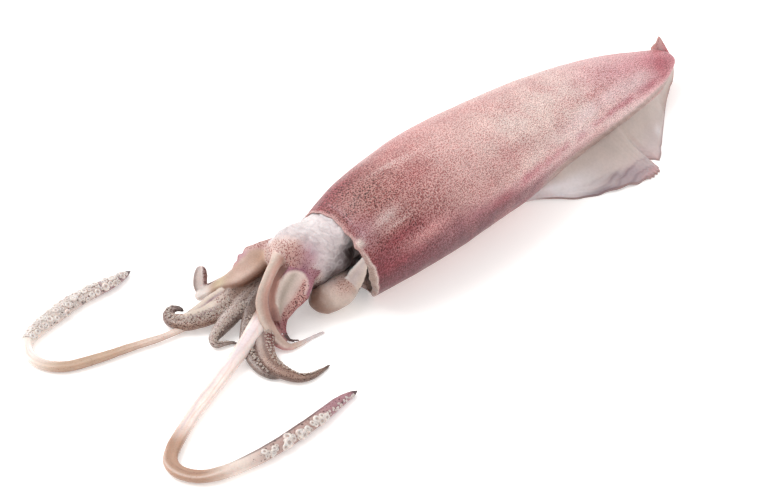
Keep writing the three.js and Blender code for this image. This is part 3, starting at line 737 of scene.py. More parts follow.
def leafLook(t, side, tone):  # a hollow pale face in a thin rim, and a spotted outer band; the hollow carries painted shade
    paint = paintOf(len(t), tone["flesh"])
    dab(paint, 0.7 * bump(side, -0.45, 0.2), tone["hollow"])
    dab(paint, 0.5 * bump(side, 0.05, 0.2), tone["pinkish"])
    dab(paint, 0.9 * bump(side, -0.82, 0.13), tone["paleRim"])
    dab(paint, 0.8 * ramp(-side, 0.9, 0.97), tone["rimShade"], spots=0.3)
    begin = mix(0.1, -0.35, ramp(t, 0.5, 0.68))
    dab(paint, ramp(side, begin, begin + 0.2), tone["band"], spots=1, freckles=0.9)
    dab(paint, 0.8 * ramp(side, 0.84, 0.97), tone["redEdge"], spots=1, freckles=0.6)
    arch = np.hypot((t - 0.42) / 0.165, (side + 0.12) / 0.86) * (t < 0.42)  # the face's round upper end
    dab(paint, ramp(arch, 1.0, 1.1), tone["aboveArch"], spots=0.9, freckles=0.4)
    dab(paint, 0.9 * bump(arch, 1.14, 0.07), tone["purpleArch"], spots=0.3)
    dab(paint, 0.9 * bump(arch, 0.96, 0.06), tone["paleArch"], spots=0)
    dab(paint, 0.8 * ramp(t, 0.64, 0.74), tone["redEnd"], spots=0.9, freckles=0.6)
    dab(paint, ramp(t, 0.8, 0.86), tone["tip"])
    return paint


def grippingLook(t, side, tone):  # grey-brown and mottled, with painted shade along both edges and at the root
    paint = paintOf(len(t), tone["flesh"], spots=0.9, freckles=0.7)
    dab(paint, 0.7 * ramp(-side, 0.0, 0.6) * ramp(t, 0.5, 0.6), tone["above"], spots=0.7, freckles=0.8)
    dab(paint, 0.8 * ramp(side, 0.3, 0.8), tone["below"], spots=0.8, freckles=0.9)
    dab(paint, 0.6 * ramp(-side, 0.85, 0.97), tone["upperEdge"], spots=0.5)
    dab(paint, 0.85 * fade(t, 0.35, 0.6), tone["root"], spots=0.7, freckles=0.9)
    dab(paint, 0.8 * ramp(t, 0.85, 1), tone["tip"])
    if "shade" in tone:  # darker than the gripping arms beside it
        dab(paint, 0.5, tone["shade"])
        dab(paint, 0.5 * ramp(t, 0.6, 0.7) * bump(side, 0.1, 0.4), tone["warm"], spots=1, freckles=0.8)
    return paint


def bandLook(t, side, tone):  # the curled arm's pale inner edge, with a purple line beside it
    paint = paintOf(len(t), tone["flesh"])
    dab(paint, 0.9 * ramp(side, 0.0, 0.5), tone["purple"], spots=0.3)
    dab(paint, 0.8 * ramp(t, 0.8, 0.95), tone["tip"], spots=0.3)
    return paint


def grooveLook(t, side, tone):  # brown-pink flesh between the long arm and the leaf
    paint = paintOf(len(t), tone["flesh"])
    dab(paint, 0.7 * bump(side, 0.1, 0.3), tone["deep"])
    dab(paint, 0.6 * ramp(side, 0.5, 0.9), tone["paleEdge"])
    dab(paint, 0.6 * ramp(t, 0.75, 0.95), tone["end"], spots=0.5)
    return paint


def webLook(t, side, tone):  # pink skin between two arms
    paint = paintOf(len(t), tone["flesh"], spots=0.3)
    dab(paint, 0.6 * ramp(side, 0.3, 0.9), tone["below"])
    dab(paint, 0.6 * bump(side, -0.2, 0.2), tone["pale"])
    return paint


def curledLook(t, side, tone):  # a pale inner band, a purple line and a spotted back, with painted shade below and at the root
    paint = paintOf(len(t), tone["flesh"], spots=1, freckles=0.8)
    dab(paint, 0.6 * bump(side, 0.1, 0.4) * bump(t, 0.62, 0.16), tone["middle"], spots=0.9, freckles=0.8)
    dab(paint, 0.8 * ramp(side, 0.55, 0.95), tone["below"], spots=0.9, freckles=0.8)
    dab(paint, 0.9 * fade(t, 0.36, 0.52), tone["root"], spots=0.5, freckles=0.8)
    band = ramp(t, 0.5, 0.56) * fade(t, 0.72, 0.78)
    dab(paint, 0.9 * band * ramp(-side, 0.12, 0.26), tone["band"], spots=0.1, freckles=0)
    dab(paint, 0.85 * band * bump(side, -0.06, 0.12), tone["purple"], spots=0.3, freckles=0)
    dab(paint, 0.7 * ramp(t, 0.78, 0.84), tone["hook"], spots=0.9, freckles=0.8)
    dab(paint, 0.8 * ramp(t, 0.9, 0.97), tone["tip"])
    return paint


def reddishLook(t, side, tone):  # grey above, crimson by the root and brown towards the tip, with a dark line of painted shade in the face's crease
    paint = paintOf(len(t), tone["flesh"], spots=0.8, freckles=0.7)
    early = fade(t, 0.5, 0.66)
    dab(paint, early, tone["grey"], spots=0.3, freckles=0.2)
    dab(paint, early * ramp(side, 0.0, 0.3), tone["crimson"], spots=0.9, freckles=0.9)
    dab(paint, early * ramp(-side, 0.5, 0.8), tone["above"], spots=0.6, freckles=0.5)
    dab(paint, 0.85 * bump(side, -0.05, 0.12) * fade(t, 0.7, 0.8), tone["line"])
    dab(paint, 0.7 * ramp(-side, 0.7, 0.95), tone["upperEdge"], spots=0.9, freckles=0.8)
    dab(paint, 0.6 * ramp(t, 0.78, 0.88), tone["end"])
    dab(paint, 0.9 * ramp(t, 0.92, 1), tone["tip"])
    return paint


gripping = {"flesh": "#c3b1a8", "above": "#c4b5ae", "below": "#6b574e", "upperEdge": "#6b5850",
            "root": "#684c3c", "tip": "#5d4d49"}
armLooks = {
    "smooth": (smoothLook, {
        "flesh": "#c4a595", "tan": "#c39a80", "pinkish": "#cdab9f", "olive": "#c8ba97", "below": "#7f5846",
        "fringe": "#b5808b", "tip": "#e0d3cc", "skin": "#c9a39c"}),
    "hidden": (hiddenLook, {"flesh": "#c9a59b", "stripe": "#f9eae5", "brown": "#94706c", "grey": "#97827d"}),
    "keel": (keelLook, {
        "flesh": "#cfb3a5", "channel": "#b48274", "keel": "#e8d6c9", "centre": "#bb978a", "rim": "#7d4a4e",
        "rosy": "#c08e8b", "tip": "#e0d8dc"}),
    "leaf": (leafLook, {
        "flesh": "#dac6bb", "hollow": "#aa998b", "pinkish": "#d8bdb6", "paleRim": "#f4e3d8",
        "rimShade": "#b98478", "band": "#c99a92", "redEdge": "#a9646e", "aboveArch": "#b07d86",
        "purpleArch": "#8a4a62", "paleArch": "#e6cfc6", "redEnd": "#9c565e", "tip": "#5d4543"}),
    "gripping": (grippingLook, gripping),
    "shaded": (grippingLook, {**gripping, "shade": "#6f5b53", "warm": "#8c7166"}),
    "curled": (curledLook, {
        "flesh": "#cbb6aa", "middle": "#b29f94", "below": "#8a6753", "root": "#745241", "band": "#d6c5b6",
        "purple": "#836373", "hook": "#8f7874", "tip": "#574844"}),
    "reddish": (reddishLook, {
        "flesh": "#a98a7b", "grey": "#b5a29a", "crimson": "#8a5854", "above": "#7b655e", "line": "#644844",
        "upperEdge": "#6a524b", "end": "#8b7568", "tip": "#4d3f3d"}),
    "band": (bandLook, {"flesh": "#d6c4b6", "purple": "#82606f", "tip": "#6a4f55"}),
    "groove": (grooveLook, {"flesh": "#b98a7c", "deep": "#9c6f63", "paleEdge": "#e0c8bb", "end": "#8a5a55"}),
    "web": (webLook, {"flesh": "#cf9a97", "below": "#b27a78", "pale": "#dfb8b2"}),
}
armMesh = {"rows": 150, "sides": 48}


def armPart(arm):
    def hollow(t):
        return arm["dish"] * ramp(t, 0.12, 0.3)

    route, face, rows = arm["route"], arm["face"], armMesh["rows"]
    size = limbSize(route, arm["thickness"])
    rings, t, angle = limbRings(route, face, size, rows, armMesh["sides"], dish=hollow)
    side = np.cos(angle)
    if "fringe" in arm:
        _, across, _ = limbFrame(route, face, np.linspace(0, 1, rows + 1))
        wave = arm["fringe"] * ramp(-side, 0.8, 1) * bump(t, 0.42, 0.14) * (1 + 0.4 * np.sin(t * 60))
        rings = rings - wave.reshape(rings.shape[:2])[..., None] * across[:, None]
    look, tone = armLooks[arm["look"]]
    return tube(rings, look(t, side, tone))


# Tentacles: a thin stalk, then a club that is widest in its middle. Each row of suckers runs from and to a
# share of the length, with its count, its places across the face and its widest sucker.
tentacles = [
    {"name": "farTentacle", "rootWidth": 2.9, "stalkWidth": 4.7, "widening": (0.28, 0.56),
     "clubStart": 0.66, "clubWidth": 8.2, "pale": (0.6, 0.72), "edgeAt": 0.85,
     "route": [[-14, 22, 15], [-22, 28.5, 8.5], [-33, 30, 4.6], [-45.6, 30.7, 3.1], [-57, 31.7, 2.4],
               [-69, 34, 2.3], [-82, 38.6, 2.3], [-96, 43.4, 2.3], [-107.4, 48.6, 2.3], [-113, 56.2, 2.3],
               [-112.8, 64.6, 2.3], [-108, 71.4, 2.3], [-99, 74.8, 2.4], [-88, 76.5, 2.4], [-77, 77.5, 2.4],
               [-67, 76.6, 2.4], [-57, 75.6, 2.2], [-47.3, 76.5, 1.4]],
     "suckers": [(0.68, 0.985, 120, (0.7, -0.1, 0.35, -0.6, 0.1, -0.82), 1.1)],
     "stalk": "#d3c0b6", "bend": "#b29681", "paleFlesh": "#f8f1eb", "club": "#c6b7b0", "edge": "#7a6260",
     "tip": "#94787c", "end": "#5d5353"},
    {"name": "nearTentacle", "rootWidth": 7.8, "stalkWidth": 5.75, "widening": (0.12, 0.32),
     "clubStart": 0.66, "clubWidth": 6.5, "pale": (0.0, 0.51), "edgeAt": 0.45,
     "route": [[-14, 17, 14], [-22, 13.6, 13], [-28.5, 11, 12.2], [-34.2, 9.5, 10.4], [-40.3, 7.6, 8.4],
               [-46.5, 5.6, 7], [-53.8, 3.4, 5.4], [-61.7, 1.2, 4.2], [-71.3, -1.6, 3.4], [-81, -4.6, 2.9],
               [-92, -8, 2.6], [-104, -12.8, 2.6], [-114.6, -17.8, 2.6], [-121.4, -23, 2.6],
               [-123, -30, 2.6], [-119.6, -37, 2.6], [-112, -41.8, 2.6], [-100, -45, 2.6],
               [-88, -46.4, 2.6], [-76, -46.8, 2.6], [-64, -46.6, 2.6], [-53, -45.6, 2.2],
               [-43, -45.6, 1.4]],
     "suckers": [(0.75, 0.9, 34, (-0.9, -0.45, -0.95, -0.68), 1.35), (0.9, 0.985, 22, (-0.9, -0.8), 0.5)],
     "stalk": "#f4e9e4", "bend": "#a7846f", "paleFlesh": "#e9d8d0", "club": "#a98d86", "edge": "#3d292b",
     "tip": "#9e737c", "end": "#4a3236", "rootShade": "#8f6c5e", "rootLilac": "#cbbec4"},
]
stalkLook = {
    "thickness": 4.6, "rows": 560, "sides": 32, "below": "#937260", "paleLine": "#d3c1b7",
    "grooveShadeLine": "#785646", "lilacFold": "#c4afb6", "pinkFold": "#cfa999", "clubBegin": "#e6d7cd",
}


def alongClub(one, t):
    return share((t - one["clubStart"]) / (1 - one["clubStart"]))


def tentacleSize(one):
    def size(t):
        onClub = alongClub(one, t)
        swell = ramp(onClub, 0, 0.3) * (1 - 0.75 * onClub**2.5)
        stalk = mix(one["rootWidth"], one["stalkWidth"], ramp(t, *one["widening"]))
        half = mix(stalk, one["clubWidth"], swell) / 2
        tip = np.where(onClub > 0, np.sqrt(np.maximum(1 - onClub**6, 0.03)), 1)
        return half * tip, np.minimum(half, stalkLook["thickness"] * 0.52) * tip

    return size


def tentaclePart(one):
    def hollow(t):
        return 0.5 * ramp(t, 0.2, 0.35) * fade(t, 0.62, 0.7)

    rings, t, angle = limbRings(one["route"], [up, up], tentacleSize(one), stalkLook["rows"],
                                stalkLook["sides"], dish=hollow)
    side, rise = np.cos(angle), np.sin(angle)
    onClub = alongClub(one, t)
    paleFrom, paleTo = one["pale"]
    pale = ramp(t, paleFrom - 0.06, paleFrom + 0.06) * fade(t, paleTo - 0.07, paleTo)
    wander = 0.12 * np.sin(t * 31) + 0.08 * np.sin(t * 77 + 1)
    # the stalk, darker below as painted shade, with folds that wander along its pale stretch and a dark line
    # of painted shade in its groove
    paint = paintOf(len(t), one["bend"], spots=0.45)
    dab(paint, 0.9 * fade(t, 0.3, 0.45), one["stalk"], spots=0.5)
    dab(paint, 0.6 * ramp(-rise, -0.3, 0.6) * (1 - 0.7 * pale), stalkLook["below"])
    dab(paint, 0.6 * bump(side, -0.62 + wander, 0.2) * ramp(t, 0.5, 0.56), stalkLook["paleLine"])
    grooveShadeLine = bump(side, 0.15 + wander, 0.1) * ramp(rise, 0, 0.3) * ramp(t, 0.53, 0.6)
    dab(paint, 0.7 * grooveShadeLine, stalkLook["grooveShadeLine"])
    dab(paint, 0.92 * pale, one["paleFlesh"], spots=0)
    dab(paint, 0.6 * pale * bump(side, -0.3 + wander, 0.14), stalkLook["lilacFold"])
    dab(paint, 0.6 * pale * bump(side, 0.35 - wander, 0.12), stalkLook["pinkFold"])
    # the club, pale where it begins, with a dark edge and a dark end
    dab(paint, ramp(onClub, 0.0, 0.2), one["club"], spots=0.6, freckles=0.8)
    begins = bump(onClub, 0.1, 0.16) * ramp(t, one["clubStart"] - 0.04, one["clubStart"] + 0.02)
    dab(paint, 0.8 * begins, stalkLook["clubBegin"], spots=0.2, freckles=0.1)
    dab(paint, 0.9 * ramp(onClub, 0.0, 0.2) * bump(side, one["edgeAt"], 0.2), one["edge"], spots=0.3)
    dab(paint, 0.9 * ramp(onClub, 0.6, 0.8), one["tip"], freckles=0.5, spots=0.8)
    dab(paint, 0.85 * ramp(onClub, 0.6, 0.75) * ramp(side, 0.35, 0.75), one["end"])
    dab(paint, ramp(onClub, 0.93, 0.98), one["end"])
    # the near stalk's root: lilac, and darker where it leaves the arms as painted shade
    if "rootLilac" in one:
        dab(paint, 0.7 * bump(t, 0.2, 0.09) * bump(side, 0.1, 0.5), one["rootLilac"])
        dab(paint, fade(t, 0.125, 0.16), one["rootShade"])
    return tube(rings, paint)


# Meshes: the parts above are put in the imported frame, in metres
def placed(points):
    return (points + np.array(collarCentre)) * mm


def meshOf(name, part):
    mesh = bpy.data.meshes.new(name)
    mesh.from_pydata(placed(part["points"]).tolist(), [], part["faces"])
    mesh.update()
    return mesh


def objectOf(name, mesh):
    piece = bpy.data.objects.new(name, mesh)
    bpy.context.scene.collection.objects.link(piece)
    return piece


def pointsOf(mesh):
    co = np.empty(len(mesh.vertices) * 3)
    mesh.vertices.foreach_get("co", co)
    return co.reshape(-1, 3) / mm - np.array(collarCentre)


def edgesOf(mesh):
    pairs = np.empty(len(mesh.edges) * 2, int)
    mesh.edges.foreach_get("vertices", pairs)
    return pairs.reshape(-1, 2)


def neighbourCount(points, edges):
    return np.maximum(np.bincount(edges.ravel(), minlength=len(points)), 1)


def neighbourMean(values, edges, count):
    total = np.empty_like(values)
    for k in range(values.shape[1]):
        total[:, k] = (np.bincount(edges[:, 0], values[edges[:, 1], k], len(values))
                       + np.bincount(edges[:, 1], values[edges[:, 0], k], len(values)))
    return total / count[:, None]


def relaxed(points, edges, rounds):  # smooths without shrinking
    count = neighbourCount(points, edges)
    for _ in range(rounds):
        for pull in (0.5, -0.52):
            points = points + pull * (neighbourMean(points, edges, count) - points)
    return points


def melted(points, edges, rounds, weight):  # rounds creases off where weight is 1
    count = neighbourCount(points, edges)
    for _ in range(rounds):
        points = points + 0.5 * weight[:, None] * (neighbourMean(points, edges, count) - points)
    return points


def normalsOf(mesh):
    out = np.empty(len(mesh.vertices) * 3)
    mesh.vertex_normals.foreach_get("vector", out)
    return out.reshape(-1, 3)


def finished(mesh, points, paint, flat=None):  # puts the final points and the paint on the mesh
    points[:, 2] = np.maximum(points[:, 2], 0.0)
    mesh.vertices.foreach_set("co", placed(points).ravel())
    tint = mesh.attributes.new("tint", "FLOAT_COLOR", "POINT")
    tint.data.foreach_set("color", np.hstack([paint[:, :3], np.ones((len(paint), 1))]).ravel())
    for key, column in channels.items():
        layer = mesh.attributes.new(key, "FLOAT", "POINT")
        layer.data.foreach_set("value", paint[:, column])
    if flat is not None:
        layer = mesh.attributes.new("flat", "FLOAT_VECTOR", "POINT")
        layer.data.foreach_set("vector", flat.ravel())
    mesh.shade_smooth()
    mesh.update()
    print(mesh.name, len(mesh.polygons), "faces")
    return mesh


def skinned(name, part, relief):  # one closed part as it is
    mesh = meshOf(name, part)
    points = relief(part["points"].copy(), normalsOf(mesh), part["paint"])
    return finished(mesh, points, part["paint"], part.get("flat"))


def evaluatedMesh(piece, name):  # a plain mesh of the object with its modifier run; the object is removed
    mesh = bpy.data.meshes.new_from_object(piece.evaluated_get(bpy.context.evaluated_depsgraph_get()))
    bpy.data.objects.remove(piece)
    mesh.name = name
    return mesh


def fused(name, parts, body, relief, soft=None):  # one closed skin over overlapping parts
    source = joined(parts)
    rough = objectOf(name + "Rough", meshOf(name, source))
    remesh = rough.modifiers.new("fuse", "REMESH")
    remesh.mode = "VOXEL"
    remesh.voxel_size = body["voxel"] * mm
    remesh.adaptivity = 0
    mesh = evaluatedMesh(rough, name)
    edges = edgesOf(mesh)
    points = relaxed(pointsOf(mesh), edges, body["smoothing"])
    if soft:
        points = melted(points, edges, body["melting"], soft(points))
    tree = BVHTree.FromPolygons(source["points"].tolist(), source["faces"])
    facePaint = np.array([source["paint"][list(f)].mean(0) for f in source["faces"]])
    paint = facePaint[[tree.find_nearest(p)[2] for p in points.tolist()]]
    paint = 0.5 * paint + 0.5 * neighbourMean(paint, edges, neighbourCount(points, edges))
    mesh.vertices.foreach_set("co", placed(points).ravel())
    mesh.update()
    return finished(mesh, relief(points, normalsOf(mesh), paint), paint)


def headSoftness(points):  # the crown melts together, and the arms stay crisp
    return ramp(points[:, 0], -24, -16) * fade(points[:, 0], -8, -4)


def mantleRelief(points, normals, paint):
    broad = 0.4 * grain(points, 34, 3.1) + 0.14 * grain(points, 11, 7.7)
    fine = 0.07 * grain(points * [0.35, 1, 1], 2.2, 1.3)
    return points + normals * (broad + fine)[:, None]


def finRelief(points, normals, paint):
    return points + np.array([0, 0, 1.0]) * (0.25 * grain(points * [1, 1, 0], 8, 4.4))[:, None]


def headRelief(points, normals, paint):  # fine folds run across the membrane, with painted shade in their grooves and a painted highlight on their crests
    soft = 0.25 * grain(points, 9, 5.2) + 0.08 * grain(points, 3, 2.2)
    across = points * [1, 0.45, 0.75]
    grooves = share(1 - 5 * np.abs(grain(across, 2.3, 9.1)))
    crests = share(1 - 5 * np.abs(grain(across, 2.3, 31.4)))
    wrinkled = paint[:, channels["wrinkles"]]
    dab(paint, 0.5 * wrinkled * grooves, head["grooves"])
    dab(paint, 0.34 * wrinkled * crests, head["crests"])
    return points + normals * (soft + wrinkled * (0.3 * crests - 0.35 * grooves))[:, None]


def limbRelief(points, normals, paint):
    return points + normals * (0.12 * grain(points, 6, 2.7) + 0.05 * grain(points, 1.6, 8.4))[:, None]


# Materials: "settings" names a node's own values or sockets, and _1 or Base_Color links one of its sockets
def addNode(tree, kind, settings=None, **links):
    node = tree.nodes.new(kind)
    for key, value in (settings or {}).items():
        if isinstance(key, str) and hasattr(node, key):
            setattr(node, key, value)
        else:
            node.inputs[key].default_value = value
    for key, source in links.items():
        socket = int(key[1:]) if key[1:].isdigit() else key.replace("_", " ")
        tree.links.new(source, node.inputs[socket])
    return node


def emptyMaterial(name):
    material = bpy.data.materials.new(name)
    material.use_nodes = True
    material.node_tree.nodes.clear()
    return material, material.node_tree


def opaque(code):
    return (*linearColour(code), 1)


blend = {"data_type": "RGBA"}
multiply = {"data_type": "RGBA", "blend_type": "MULTIPLY", "Factor": 1.0}


def skinMaterial(name, look):
    material, tree = emptyMaterial(name)
    place = addNode(tree, "ShaderNodeTexCoord").outputs["Object"]
    tint = addNode(tree, "ShaderNodeAttribute", {"attribute_name": "tint"}).outputs["Color"]
    # broad clouds, and fine specks over the painted colour: the skin's uneven tone, and painted glints where
    # the specks are strong
    mottle = addNode(tree, "ShaderNodeTexNoise", {"Scale": 1 / (look["mottle"] * mm), "Detail": 4.0},
                     Vector=place).outputs["Fac"]
    speck = addNode(tree, "ShaderNodeTexNoise", {"Scale": 1 / (look["speck"] * mm), "Detail": 1.0},
                    Vector=place).outputs["Fac"]
    cloudy = {"From Min": 0.3, "From Max": 0.7, "To Min": (1 - look["cloud"]) * look["tone"],
              "To Max": (1 + look["cloud"]) * look["tone"]}
    cloud = addNode(tree, "ShaderNodeMapRange", cloudy, Value=mottle).outputs[0]
    specksAndGlintsSpan = {"From Min": 0.25, "From Max": 0.75, "To Min": 1 - look["specksAndGlints"], "To Max": 1 + look["specksAndGlints"]}
    specksAndGlints = addNode(tree, "ShaderNodeMapRange", specksAndGlintsSpan, Value=speck).outputs[0]
    shade = addNode(tree, "ShaderNodeMath", {"operation": "MULTIPLY"}, _0=cloud, _1=specksAndGlints).outputs[0]
    colour = addNode(tree, "ShaderNodeMix", multiply, _6=tint, _7=shade).outputs[2]
    # a dot in each cell, larger where the paint holds more of its kind
    for key, spacing, reach, dotColour, strength in look["dots"]:
        amount = addNode(tree, "ShaderNodeAttribute", {"attribute_name": key}).outputs["Fac"]
        if look["flat"]:
            spot = addNode(tree, "ShaderNodeAttribute", {"attribute_name": "flat"}).outputs["Vector"]
            cells = addNode(tree, "ShaderNodeTexVoronoi", {"voronoi_dimensions": "2D", "Scale": 1 / spacing},
                            Vector=spot)
        else:
            cells = addNode(tree, "ShaderNodeTexVoronoi", {"Scale": 1 / (spacing * mm)}, Vector=place)
        lot = addNode(tree, "ShaderNodeSeparateColor", Color=cells.outputs["Color"]).outputs[0]
        grow = addNode(tree, "ShaderNodeMapRange", {"To Min": reach * 0.55, "To Max": reach * 1.1},
                       Value=lot).outputs[0]
        size = addNode(tree, "ShaderNodeMath", {"operation": "MULTIPLY"}, _0=grow, _1=amount).outputs[0]
        inside = addNode(tree, "ShaderNodeMath", {"operation": "SUBTRACT"}, _0=size,
                         _1=cells.outputs["Distance"]).outputs[0]
        mask = addNode(tree, "ShaderNodeMapRange", {"From Max": 0.12, "To Max": strength},
                       Value=inside).outputs[0]
        dark = addNode(tree, "ShaderNodeMix", {**multiply, 7: opaque(dotColour)}, _6=colour).outputs[2]
        colour = addNode(tree, "ShaderNodeMix", blend, _0=mask, _6=colour, _7=dark).outputs[2]
    # relief: a fine grain, and folds where the paint is wrinkled
    grains = addNode(tree, "ShaderNodeTexNoise", {"Scale": 1 / (look["grain"] * mm), "Detail": 3.0},
                     Vector=place).outputs["Fac"]
    wrinkle = addNode(tree, "ShaderNodeAttribute", {"attribute_name": "wrinkles"}).outputs["Fac"]
    folds = addNode(tree, "ShaderNodeTexNoise", {"Scale": 1 / (1.6 * mm), "Detail": 3.0, "Distortion": 1.5},
                    Vector=place).outputs["Fac"]
    folds = addNode(tree, "ShaderNodeMath", {"operation": "MULTIPLY"}, _0=folds, _1=wrinkle).outputs[0]
    height = addNode(tree, "ShaderNodeMath", {"operation": "MULTIPLY_ADD", 1: 0.35}, _0=grains,
                     _2=folds).outputs[0]
    relief = addNode(tree, "ShaderNodeBump", {"Strength": look["relief"], "Distance": 0.4 * mm},
                     Height=height)
    gloss = {"From Min": 0.3, "From Max": 0.7, "To Min": look["rough"][0], "To Max": look["rough"][1]}
    wet = addNode(tree, "ShaderNodeMapRange", gloss, Value=mottle).outputs[0]
    surface = addNode(tree, "ShaderNodeBsdfPrincipled", {
        "IOR": 1.38, "Subsurface Weight": look["glow"], "Subsurface Radius": (1.0, 0.5, 0.4),
        "Subsurface Scale": look["depth"] * mm, "Coat Weight": look["coat"], "Coat Roughness": 0.16,
        "Coat IOR": 1.34}, Base_Color=colour, Roughness=wet, Normal=relief.outputs["Normal"])
    addNode(tree, "ShaderNodeOutputMaterial", Surface=surface.outputs[0])
    return material


# Wet raw skin: a film of water gives a soft broad sheen, and the flesh under it lets some light through.
# Sizes are in mm. Its dots, 0.5 to 1.5 mm apart, are red-brown: key, spacing, reach, colour and strength.
# On the mantle the strong fine specks are painted glints of the wet skin
mantleSkin = skinMaterial("spottedMantleSkin", {
    "mottle": 8.0, "cloud": 0.08, "speck": 0.42, "specksAndGlints": 0.42, "grain": 0.8, "relief": 0.35,
    "rough": (0.36, 0.56), "coat": 0.15, "glow": 0.12, "depth": 1.5, "flat": True, "tone": 0.765,
    "dots": [("spots", 0.72, 0.55, "#b4676a", 0.82), ("freckles", 1.25, 0.42, "#572729", 0.88)]})
finFlesh = skinMaterial("bareFinFlesh", {
    "mottle": 12.0, "cloud": 0.07, "speck": 1.2, "specksAndGlints": 0.04, "grain": 0.9, "relief": 0.35,
    "rough": (0.3, 0.5), "coat": 0.35, "glow": 0.35, "depth": 3.0, "flat": False, "tone": 0.86,
    "dots": [("spots", 0.9, 0.55, "#b86c6a", 0.8), ("freckles", 1.5, 0.5, "#6a3a3c", 0.8)]})
headSkin = skinMaterial("paleHeadSkin", {
    "mottle": 5.0, "cloud": 0.08, "speck": 0.6, "specksAndGlints": 0.08, "grain": 0.6, "relief": 0.4,
    "rough": (0.28, 0.48), "coat": 0.35, "glow": 0.18, "depth": 1.6, "flat": False, "tone": 0.78,
    "dots": [("spots", 0.58, 0.57, "#a45a58", 0.85), ("freckles", 0.84, 0.5, "#6a4440", 0.85)]})
stalkSkin = skinMaterial("translucentStalkSkin", {
    "mottle": 6.0, "cloud": 0.06, "speck": 0.7, "specksAndGlints": 0.05, "grain": 0.7, "relief": 0.35,
    "rough": (0.25, 0.45), "coat": 0.4, "glow": 0.35, "depth": 2.0, "flat": False, "tone": 0.96,
    "dots": [("spots", 0.9, 0.5, "#b3766a", 0.8), ("freckles", 1.4, 0.55, "#5d3a3c", 0.8)]})


# Suckers: a hard wet ring that catches small lights, patchy from dull to pale, round duller sunken flesh
def suckerMaterial(name, dull, pale, sunk):
    material, tree = emptyMaterial(name)
    pit = addNode(tree, "ShaderNodeAttribute", {"attribute_name": "pit"}).outputs["Fac"]
    place = addNode(tree, "ShaderNodeTexCoord").outputs["Object"]
    uneven = addNode(tree, "ShaderNodeTexNoise", {"Scale": 1 / (3.0 * mm), "Detail": 2.0}, Vector=place)
    ring = addNode(tree, "ShaderNodeMix", {**blend, 6: opaque(dull), 7: opaque(pale)},
                   _0=uneven.outputs["Fac"])
    colour = addNode(tree, "ShaderNodeMix", {**blend, 7: opaque(sunk)}, _0=pit, _6=ring.outputs[2])
    surface = addNode(tree, "ShaderNodeBsdfPrincipled", {
        "Roughness": 0.35, "IOR": 1.38, "Subsurface Weight": 0.3, "Subsurface Radius": (1.0, 0.6, 0.45),
        "Subsurface Scale": 1.5 * mm, "Coat Weight": 0.4, "Coat Roughness": 0.15},
        Base_Color=colour.outputs[2])
    addNode(tree, "ShaderNodeOutputMaterial", Surface=surface.outputs[0])
    return material


# Suckers: a soft ring with a sunken middle on every point, turned to the flesh that it grows on. Sizes are
# shares of a sucker's half width.
suckerRing = {
    "radius": 0.72, "thickness": 0.4, "sides": 9, "profileSides": 5, "spread": 0.22, "seed": 5,
    "pitRadius": 0.7, "pitDepth": 0.2,
}
# Where they sit on an arm, the widest one in mm, and how unevenly they are set
armSuckers = {"begin": 0.45, "end": 0.93, "widest": 0.46, "uneven": 0.5}
clubSuckers = {"uneven": 1.0}


